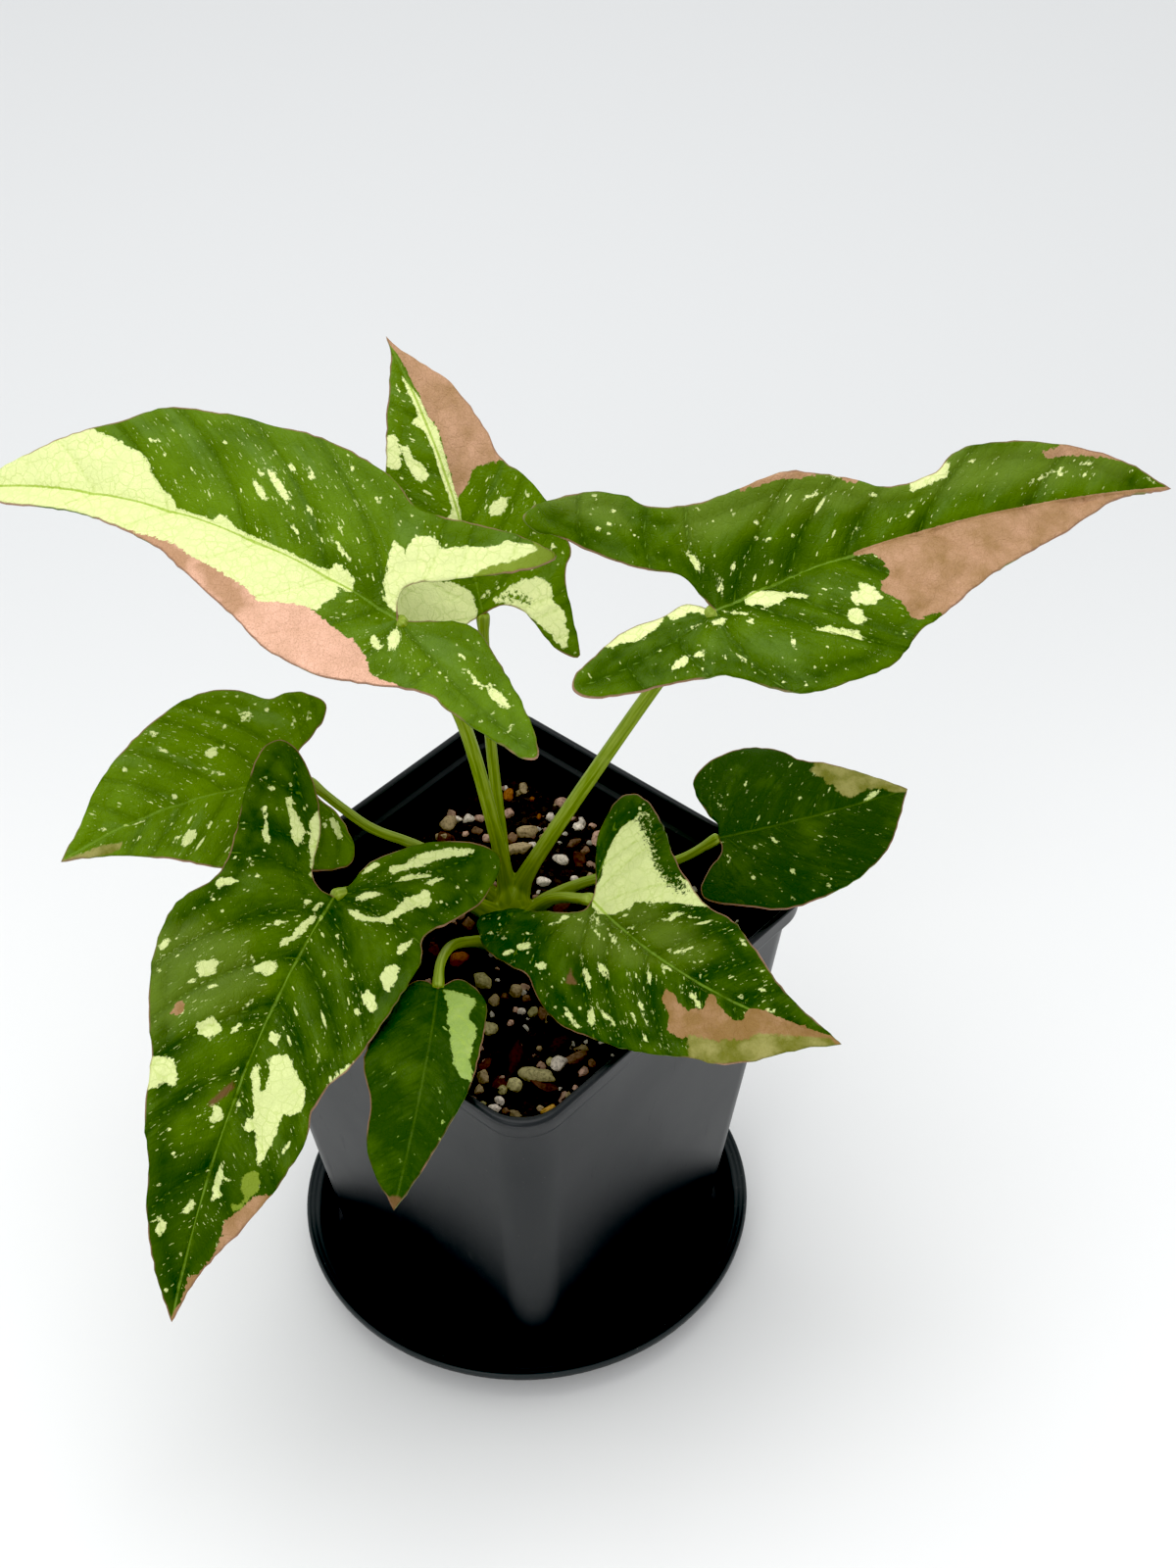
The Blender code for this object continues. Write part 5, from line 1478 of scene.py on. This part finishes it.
# %% Petioles
# A path from the crown, and the radius at its foot, on its way and at its end.
PETIOLES = {
    "leaf_upper_left": ([(0, 6, 100), (-0.8, 8, 107), (-2.9, 8, 127), (-8.9, 3, 167), (-16.5, 0, 188)],
                        3.3, 1.8, 1.4),
    "leaf_back": ([(-0.5, 7, 100), (-1.3, 11, 111), (-2, 13.5, 125), (-3.2, 16, 150), (-3.5, 19, 172)],
                  2.2, 1.45, 1.2),
    "leaf_right": ([(1, 6, 100), (1.5, 8, 109), (6.5, 7, 122.7), (32, 2, 174.5)], 3.4, 1.9, 1.45),
    "leaf_small_right": ([(2, 6, 101.5), (7, 7.5, 106.5), (16, 8.5, 111), (26.7, 8, 114.4),
                          (38.7, 8, 117.6)], 2.2, 1.3, 1.1),
    "leaf_centre": ([(1, 4, 101.5), (3, 2, 107), (6, -1, 113.5), (10.3, -6, 121.2)], 2.4, 1.6, 1.2),
    "leaf_small_front": ([(-1, 3, 102), (-5.7, -3.5, 105), (-8.7, -8, 110.5), (-13.7, -19, 121),
                          (-16.2, -28, 125.2)], 2.2, 1.4, 1.1),
    "leaf_front_left": ([(-1, 5, 101.5), (-5, 4, 107), (-14, 0, 118), (-27, -7, 129)], 2.9, 1.8, 1.4),
    "leaf_back_left": ([(-1, 7, 101.5), (-5.5, 9.5, 109), (-13.9, 12, 116.5), (-22.3, 12, 123),
                        (-31, 12, 128.3), (-37.5, 14.3, 133)], 2.3, 1.4, 1.1),
}
CROWN_PROFILE = [
    (0.4, 84), (4.4, 84.2), (5.4, 91), (5.4, 99), (5.2, 103), (4.6, 107), (3.0, 110.5), (1.2, 112.5),
    (0.3, 113),
]
CROWN_CENTRE = (0.0, 6.0)
CROWN_SIDES = 32
STALK_SIDES = 24
STALK_STEP = 1.0
SHEATH_LENGTH = 12.0
KNUCKLE_SWELL = 0.30
KNUCKLE_PLACE, KNUCKLE_LENGTH = 1.0, 2.2
VIEWED_SIDE = np.array([0.0, -0.7, 0.7])
SKIN_VOXEL = 0.3
SKIN_SMOOTHING = 7
STALK_DEEP = (0.17, 0.25, 0.016, 1.0)
STALK_LIGHT = (0.30, 0.385, 0.060, 1.0)
STALK_GROOVE = (0.070, 0.125, 0.004, 1.0)
STALK_FOOT = (0.19, 0.225, 0.022, 1.0)
STALK_BLOTCH = (0.36, 0.44, 0.11, 1.0)


def stalk_frames(path):
    """The direction, the side and the upper side at each point of a path, free of spin."""
    ways = np.gradient(path, axis=0)
    ways /= np.linalg.norm(ways, axis=1)[:, None]
    up, frames = VIEWED_SIDE, []
    for way in ways:
        up = up - way * (up @ way)
        up = up / np.linalg.norm(up)
        frames.append((way, np.cross(way, up), up))
    return np.array(frames)


def stalk_radii(along, foot, middle, end):
    """Wide at the sheath, then evenly thinner, with a knuckle just before the end."""
    left = along[-1] - along
    radii = middle + (foot - middle) * np.exp(-(along / SHEATH_LENGTH) ** 2)
    knuckle = np.exp(-((left - KNUCKLE_PLACE) / KNUCKLE_LENGTH) ** 2)
    return radii + (end - middle) * along / along[-1] + KNUCKLE_SWELL * end * knuckle


def stalk_rings(path, frames, radii):
    """Rings round a path, with a shallow groove along the upper side."""
    angles = np.linspace(0, 2 * pi, STALK_SIDES, endpoint=False)
    groove = 1 - 0.16 * np.exp(-((angles - pi / 2) / 0.35) ** 2)
    across = (np.cos(angles) * groove)[:, None]
    upward = (np.sin(angles) * groove)[:, None]
    return [place + radius * across * side + radius * upward * up
            for place, (way, side, up), radius in zip(path, frames, radii)]


def stalk_material():
    mat, tree, shader = new_material("stalk_skin", Roughness=0.45, Specular_IOR_Level=0.25)
    streaks = noise(tree, attribute(tree, "skin", "Vector"), 1.3, 4.0, 0.6)
    color = blend_colors(tree, step_up(tree, streaks, 0.35, 0.68), STALK_DEEP, STALK_LIGHT)
    groove = times(tree, step_up(tree, attribute(tree, "groove"), 0.3, 0.9), 0.45)
    color = blend_colors(tree, groove, color, STALK_GROOVE)
    foot = times(tree, step_up(tree, split(tree, object_mm(tree))[2], 114.0, 101.0), 0.65)
    color = blend_colors(tree, foot, color, STALK_FOOT)
    blotch = times(tree, step_up(tree, noise(tree, object_mm(tree), 0.12, 3.0), 0.5, 0.75), 0.25)
    color = blend_colors(tree, blotch, color, STALK_BLOTCH)
    hook(tree, color, shader, "Base Color")
    bump(tree, shader, streaks, 0.35, 0.2)
    return mat


shells, axes = [], []
for name, (way, foot, middle, end) in PETIOLES.items():
    path = even_steps(smooth_path(way + [BLADES[name]["joint"]], 12), STALK_STEP)
    frames = stalk_frames(path)
    along = np.arange(len(path)) * STALK_STEP
    shells.append(ring_bands(stalk_rings(path, frames, stalk_radii(along, foot, middle, end))))
    axes.append(np.column_stack([path, frames.reshape(len(path), 9), along]))
crown_rings = [circle(radius, height, CROWN_SIDES, CROWN_CENTRE)
               for radius, height in smooth_path(CROWN_PROFILE, 4)]
shells.append(ring_bands(crown_rings))

stem_points, stem_faces = [], []
for points, faces in shells:
    stem_faces += shifted(faces, sum(len(p) for p in stem_points))
    stem_points.append(points)
stem = mesh_object("crown_and_stalks", np.vstack(stem_points), stem_faces, [stalk_material()])
grown = stem.modifiers.new("grow_together", "REMESH")
grown.mode = "VOXEL"
grown.voxel_size = SKIN_VOXEL * MM
grown.use_smooth_shade = True
rounded = stem.modifiers.new("round_forks", "SMOOTH")
rounded.factor = 0.5
rounded.iterations = SKIN_SMOOTHING
baked(stem)
print("the stalks grew together into", len(stem.data.polygons), "faces")

# %% [markdown]
# A stalk is streaked lengthwise, so its skin has to know which way it runs. Every point looks
# up the nearest axis and stores its place round it and along it.

# %% Streaks of the stalks
SKIN_RADIUS = 2.5
SKIN_STRETCH = 0.07

places = np.empty(3 * len(stem.data.vertices))
stem.data.vertices.foreach_get("co", places)
places = places.reshape(-1, 3) / MM
axis_table = np.vstack(axes)
nearest = np.zeros(len(places), int)
closest = np.full(len(places), np.inf)
for index, axis_row in enumerate(axis_table):
    away = ((places - axis_row[:3]) ** 2).sum(axis=1)
    nearest = np.where(away < closest, index, nearest)
    closest = np.minimum(closest, away)
rows = axis_table[nearest]
away = places - rows[:, :3]
lengthwise, sideways, upward = ((away * rows[:, i:i + 3]).sum(axis=1) for i in (3, 6, 9))
round_angle = np.arctan2(upward, sideways)
along = rows[:, 12] + lengthwise
skin = np.column_stack([SKIN_RADIUS * np.cos(round_angle), SKIN_RADIUS * np.sin(round_angle),
                        SKIN_STRETCH * along])
groove = np.exp(-((round_angle - pi / 2) / 0.25) ** 2) * np.clip((along - 4) / 8, 0, 1)
store(stem.data, "skin", skin)
store(stem.data, "groove", groove)
dress(stem, "stem", "stem")

# %% [markdown]
# The soil. A bed of dark peat fills the pot, and crumbs, perlite, pumice, gravel and bark lie
# on it. The bed is a net over the pot's square with small lumps.

# %% Soil bed
SOIL_LEVEL = 99.3
SOIL_GAP = 0.35
SOIL_CHAMFER = 1.4
BED_STEPS = 46
BED_LUMP = 0.9
DARK_PEAT = (0.006, 0.004, 0.003, 1.0)
LIGHT_PEAT = (0.045, 0.026, 0.014, 1.0)


def soil_material():
    mat, tree, shader = new_material("peat", Roughness=0.95)
    crumbs = noise(tree, object_mm(tree), 0.9, 5.0, 0.65)
    color = blend_colors(tree, step_up(tree, crumbs, 0.35, 0.75), DARK_PEAT, LIGHT_PEAT)
    hook(tree, color, shader, "Base Color")
    bump(tree, shader, crumbs, 0.9, 1.2)
    return mat


soil_seed = np.random.default_rng(7)
bed_rings = []
for height, gap in ((3.95, SOIL_GAP + SOIL_CHAMFER), (5.5, SOIL_GAP), (SOIL_LEVEL, SOIL_GAP)):
    bed_rings.append(rounded_square(wall_inside(height) - gap, height))
edge_ring = bed_rings[-1]
for step in range(1, BED_STEPS):
    share = 1 - step / BED_STEPS
    ring = edge_ring * (share, share, 1.0)
    lumps = soil_seed.uniform(-1, 1, len(ring))
    ring[:, 2] += BED_LUMP * lumps * min(1.0, step / 3)
    bed_rings.append(ring)
points, faces = ring_bands(bed_rings)
bed = mesh_object("soil_bed", points, faces, [soil_material()])
dress(bed, "soil", "soil")

# %% [markdown]
# The loose bits repeat by the thousand, so Geometry Nodes scatter them. The tree spreads points
# over the bed in uneven patches, puts a small rock on each with a random turn and stretch,
# roughens the rocks with noise, and ends in plain geometry. Its sizes are in metres.

# %% Scatter tree
SCATTER_INPUTS = (
    ("Geometry", "Geometry"), ("Density", "Float"), ("Smallest", "Float"), ("Largest", "Float"),
    ("Flatness", "Float"), ("Roughness", "Float"), ("Detail", "Int"), ("Seed", "Int"),
    ("Material", "Material"),
)
SHAPE_SEED = 3
SPIN_SEED = 5
ROUGH_SCALE = 600.0


def random_vector(tree, low, high, seed):
    inputs = {0: low, 1: high, "Seed": seed}
    return add_node(tree, "FunctionNodeRandomValue", inputs, data_type="FLOAT_VECTOR").outputs[0]


def rock_sizes(tree, given):
    """A stretch for each rock: its own proportions, the kind's flatness and a random size."""
    limits = {2: given["Smallest"], 3: given["Largest"], "Seed": given["Seed"]}
    size = add_node(tree, "FunctionNodeRandomValue", limits, data_type="FLOAT").outputs[1]
    shape = random_vector(tree, (0.65, 0.65, 0.6), (1.3, 1.1, 1.0), SHAPE_SEED)
    flat_way = {"X": 1.0, "Y": 1.0, "Z": given["Flatness"]}
    squeeze = add_node(tree, "ShaderNodeCombineXYZ", flat_way).outputs[0]
    return calc_vector(tree, "SCALE", calc_vector(tree, "MULTIPLY", shape, squeeze), size)


def scatter_tree():
    tree = bpy.data.node_groups.new("scatter_bits", "GeometryNodeTree")
    for name, kind in SCATTER_INPUTS:
        tree.interface.new_socket(name, in_out="INPUT", socket_type="NodeSocket" + kind)
    tree.interface.new_socket("Geometry", in_out="OUTPUT", socket_type="NodeSocketGeometry")
    given = tree.nodes.new("NodeGroupInput").outputs
    here = add_node(tree, "GeometryNodeInputPosition").outputs[0]
    patchy = step_up(tree, noise(tree, here, 70.0, 2.0), 0.40, 0.62)
    spread = add_node(tree, "GeometryNodeDistributePointsOnFaces",
                      {"Mesh": given["Geometry"], "Density": times(tree, given["Density"], patchy),
                       "Seed": given["Seed"]})
    rock = add_node(tree, "GeometryNodeMeshIcoSphere", {"Radius": 0.5, "Subdivisions": given["Detail"]})
    placed = add_node(tree, "GeometryNodeInstanceOnPoints", {
        "Points": spread.outputs["Points"], "Instance": rock.outputs["Mesh"],
        "Rotation": random_vector(tree, (-0.7, -0.7, 0.0), (0.7, 0.7, 6.283), SPIN_SEED),
        "Scale": rock_sizes(tree, given)})
    real = add_node(tree, "GeometryNodeRealizeInstances", {"Geometry": placed.outputs[0]})
    where = add_node(tree, "GeometryNodeInputPosition").outputs[0]
    rough = noise(tree, where, ROUGH_SCALE, 2.0, output="Color")
    centred = calc_vector(tree, "SUBTRACT", rough, (0.5, 0.5, 0.5))
    push = calc_vector(tree, "SCALE", centred, given["Roughness"])
    moved = add_node(tree, "GeometryNodeSetPosition", {"Geometry": real.outputs[0], "Offset": push})
    dyed = add_node(tree, "GeometryNodeSetMaterial",
                    {"Geometry": moved.outputs[0], "Material": given["Material"]})
    tree.links.new(dyed.outputs[0], add_node(tree, "NodeGroupOutput").inputs[0])
    return tree


scatter = scatter_tree()
print("scatter tree inputs:", [i.name for i in scatter.interface.items_tree if i.in_out == "INPUT"])

# %% [markdown]
# Each kind of bit gets its own run of the tree: dark crumbs, white perlite, rosy pumice, tan
# gravel, and flat flakes of bark.

# %% Soil bits
# Bits for each square millimetre, their smallest and largest size, flatness, roughness, detail,
# seed, and the darkest and lightest colour.
BITS = {
    "crumbs": (0.50, 0.7, 2.4, 0.8, 2.0, 1, 11, (0.004, 0.003, 0.002, 1.0), (0.030, 0.018, 0.011, 1.0)),
    "perlite": (0.016, 0.7, 2.0, 0.85, 1.6, 2, 23, (0.36, 0.32, 0.25, 1.0), (0.66, 0.62, 0.54, 1.0)),
    "pumice": (0.016, 1.2, 3.2, 0.8, 2.4, 2, 37, (0.22, 0.13, 0.09, 1.0), (0.46, 0.31, 0.22, 1.0)),
    "gravel": (0.007, 2.0, 4.2, 0.75, 2.4, 2, 41, (0.14, 0.10, 0.045, 1.0), (0.34, 0.27, 0.14, 1.0)),
    "bark": (0.014, 2.5, 6.5, 0.3, 2.2, 2, 53, (0.020, 0.008, 0.004, 1.0), (0.10, 0.038, 0.018, 1.0)),
}
SQUARE_METRE = 1e6
BITS_LIFT = 0.4


def bit_material(name, dark, light):
    mat, tree, shader = new_material(name, Roughness=0.85)
    place = object_mm(tree)
    grain = noise(tree, place, 1.5, 4.0, 0.6)
    share = adjust(tree, noise(tree, place, 0.22, 1.0), 0.6, adjust(tree, grain, 0.6, -0.1))
    hook(tree, blend_colors(tree, step_up(tree, share, 0.2, 0.8), dark, light), shader, "Base Color")
    bump(tree, shader, grain, 0.5, 0.4)
    return mat


def scattered(name, rings, values):
    """Scatter bits over a disc of rings. The values are for the tree's inputs, by name."""
    points, faces = ring_bands(rings, close_first=False, close_last=True)
    bits = mesh_object(name, points, faces, [])
    modifier = bits.modifiers.new("scatter", "NODES")
    modifier.node_group = scatter
    for item in scatter.interface.items_tree:
        if item.in_out == "INPUT" and item.name in values:
            modifier[item.identifier] = values[item.name]
    return baked(bits)


for kind, (density, smallest, largest, flatness, rough, detail, seed, dark, light) in BITS.items():
    clear_of_wall = 3 + int(0.7 * largest)
    values = {"Density": density * SQUARE_METRE, "Smallest": smallest * MM, "Largest": largest * MM,
              "Flatness": flatness, "Roughness": rough * MM, "Detail": detail, "Seed": seed,
              "Material": bit_material("soil_" + kind, dark, light)}
    top_rings = [ring + (0, 0, BITS_LIFT) for ring in bed_rings[clear_of_wall:-3]]
    dress(scattered("soil_" + kind, top_rings, values), "soil")

# %% [markdown]
# Where the soil shows between the leaves, single stones catch the eye. Each of these has its own
# place: x and y of its middle, half its length and width, and its turn in degrees. They were
# taken one by one from a picture of the plant and carried onto the soil. A stone is a fine ball that
# is lumped by noise and chipped flat by a few random planes.

# %% Stones
STONE_COLORS = {
    "tan": (0.42, 0.32, 0.18), "orange": (0.28, 0.11, 0.025), "rose": (0.62, 0.40, 0.30),
    "white": (0.84, 0.74, 0.62), "brown": (0.22, 0.135, 0.08), "olive": (0.46, 0.41, 0.20),
    "bark": (0.050, 0.017, 0.009), "amber": (0.62, 0.36, 0.08),
}
STONES = {
    "tan": [
        (4.1, 53.6, 1.8, 1.1, -68), (12.5, 46.5, 1.4, 0.8, -40), (-14.9, 42.3, 2.5, 1.8, 60),
        (-16.4, 37.8, 1.4, 1.1, 0), (4.1, 38.1, 2.5, 1.4, 14), (8.3, 36.4, 1.1, 0.9, 0),
        (2.2, 32.0, 3.2, 1.4, 7), (18.7, 21.7, 0.9, 0.9, 0), (-5.4, -17.0, 1.4, 1.1, 76),
        (-0.2, -14.6, 1.6, 1.4, 27), (4.2, -32.1, 0.7, 0.7, 0), (-8.4, -39.8, 1.6, 1.4, 68),
        (-9.4, -43.1, 1.4, 0.9, 68), (3.7, -49.3, 0.7, 0.7, 0), (2.5, -51.7, 0.5, 0.5, 0),
    ],
    "orange": [
        (0, 51.5, 1.8, 1.4, 83), (6, 50, 0.7, 0.7, 0), (7.4, 43.4, 0.9, 0.7, 76),
        (-13.1, -3.9, 2.3, 1.6, 40),
    ],
    "rose": [
        (13.1, 47.3, 1.6, 1.6, 0), (0, 45, 1.4, 1.1, 83), (-7.2, 43.8, 1.4, 0.9, 0),
        (-10.7, 38.8, 0.9, 0.7, 83), (-5.5, 36.3, 1.1, 1.1, 0), (14.8, 42.3, 1.6, 0.7, 0),
        (20.4, 39, 0.9, 0.9, 0), (21.5, 35.8, 1.6, 1.1, 68), (20.8, 34.1, 1.8, 0.9, 83),
        (3, 15.2, 0.9, 0.9, 0), (-12.4, 11, 1.4, 1.4, 0), (-0.4, -20, 0.7, 0.7, 0),
        (-1.8, -23.8, 0.8, 0.7, 0), (13.6, -39.4, 1.4, 0.9, 45), (-7.9, -35, 0.7, 0.7, 0),
        (11.6, -43.8, 0.6, 0.6, 0),
    ],
    "white": [
        (10.3, 42.9, 1.1, 1.1, 0), (-10.1, 43.7, 1.4, 1.1, 68), (-12.5, 43.8, 0.9, 0.9, 0),
        (5.3, 33.5, 0.9, 0.9, 0), (16.8, 38.9, 1.4, 0.9, -27), (17.4, 40.2, 1.4, 1.1, 68),
        (12.2, 27.5, 1.8, 1.4, -27), (7.4, 20.5, 1.4, 1.1, 0), (14.9, 20.9, 0.9, 0.9, 0),
        (0.9, -20.7, 1.1, 0.9, 27), (8.3, -37.3, 2, 1.6, 40), (-5, -46.5, 1.1, 0.9, -40),
        (-6.3, -48.6, 1.4, 0.9, 0),
    ],
    "brown": [
        (-7.8, 39.3, 1.6, 0.9, -27), (0.7, 35.9, 1.6, 1.1, 83), (10.4, 39.7, 1.4, 0.9, 68),
        (15.8, 33.4, 1.8, 1.1, 27), (18.2, 30.2, 1.1, 1.1, 0), (-10.6, 7.4, 2, 1.4, -68),
        (-2.9, -15.6, 0.9, 0.7, 0), (2, -16.9, 0.9, 0.9, 0), (5.3, -21.6, 1.6, 0.9, 83),
        (12.3, -35.3, 2.3, 1.1, 27), (15.5, -37.2, 0.9, 0.9, 0), (-3.8, -49.4, 0.7, 0.7, 0),
    ],
    "olive": [
        (-7.9, -11, 2.5, 1.6, -50), (3.3, -21.2, 1.1, 1.1, 0), (-6.5, -25.5, 1.6, 1.4, 68),
        (3.4, -40.4, 3.6, 1.8, -11), (6.4, -36, 1.1, 0.9, 76), (-4.4, -43.5, 1.1, 1.1, 0),
        (-1.6, -42.6, 1.8, 1.4, 68), (-9, -47.1, 0.9, 0.7, 0),
    ],
    "bark": [
        (-1.4, -35.5, 5, 1.8, 70), (9.3, -31.3, 2.7, 1.6, 40),
    ],
    "amber": [
        (5.5, -50.3, 1.6, 1.1, 40),
    ],
}
STONE_CHIPS = 9
STONE_GROWTH = 1.2
STONE_LIFT = 0.3
THICKEST_STONE = 1.7


def stone_points(ball, place, draw):
    """The points of one stone, from those of a ball with radius one."""
    x, y, long_half, short_half, angle = place
    lumps = [1 + 0.30 * noise_at(Vector(p) * 1.4 + Vector((x, y, 0.0))) for p in ball]
    points = ball * np.array(lumps)[:, None]
    for chip in draw.normal(size=(STONE_CHIPS, 3)):
        chip /= np.linalg.norm(chip)
        past = np.clip(points @ chip - draw.uniform(0.62, 0.88), 0, None)
        points = points - past[:, None] * chip
    thick = min(THICKEST_STONE, 1.1 * short_half)
    points = points * (STONE_GROWTH * long_half, STONE_GROWTH * short_half, thick)
    height = SOIL_LEVEL + STONE_LIFT + 0.6 * thick
    return points @ turn("z", np.array(radians(angle))).T + (x, y, height)


def stone_material():
    mat, tree, shader = new_material("stone", Roughness=0.85, Specular_IOR_Level=0.2)
    grain = noise(tree, object_mm(tree), 1.6, 5.0, 0.65)
    tint = attribute(tree, "tint", "Vector")
    dark = calc_vector(tree, "SCALE", tint, 0.45)
    color = blend_colors(tree, step_up(tree, grain, 0.32, 0.58), dark, tint)
    hook(tree, color, shader, "Base Color")
    bump(tree, shader, grain, 0.6, 0.4)
    return mat


bm = bmesh.new()
bmesh.ops.create_icosphere(bm, subdivisions=3, radius=1.0)
ball = np.array([v.co[:] for v in bm.verts])
ball_faces = [[v.index for v in f.verts] for f in bm.faces]
bm.free()
draw = np.random.default_rng(29)
points, faces, tints = [], [], []
for kind, places in STONES.items():
    for place in places:
        faces += shifted(ball_faces, len(points) * len(ball))
        points.append(stone_points(ball, place, draw))
        tints.append(np.tile(np.array(STONE_COLORS[kind]) * draw.uniform(0.8, 1.15), (len(ball), 1)))
stones = mesh_object("soil_stones", np.vstack(points), faces, [stone_material()])
store(stones.data, "tint", np.vstack(tints))
dress(stones, "soil")
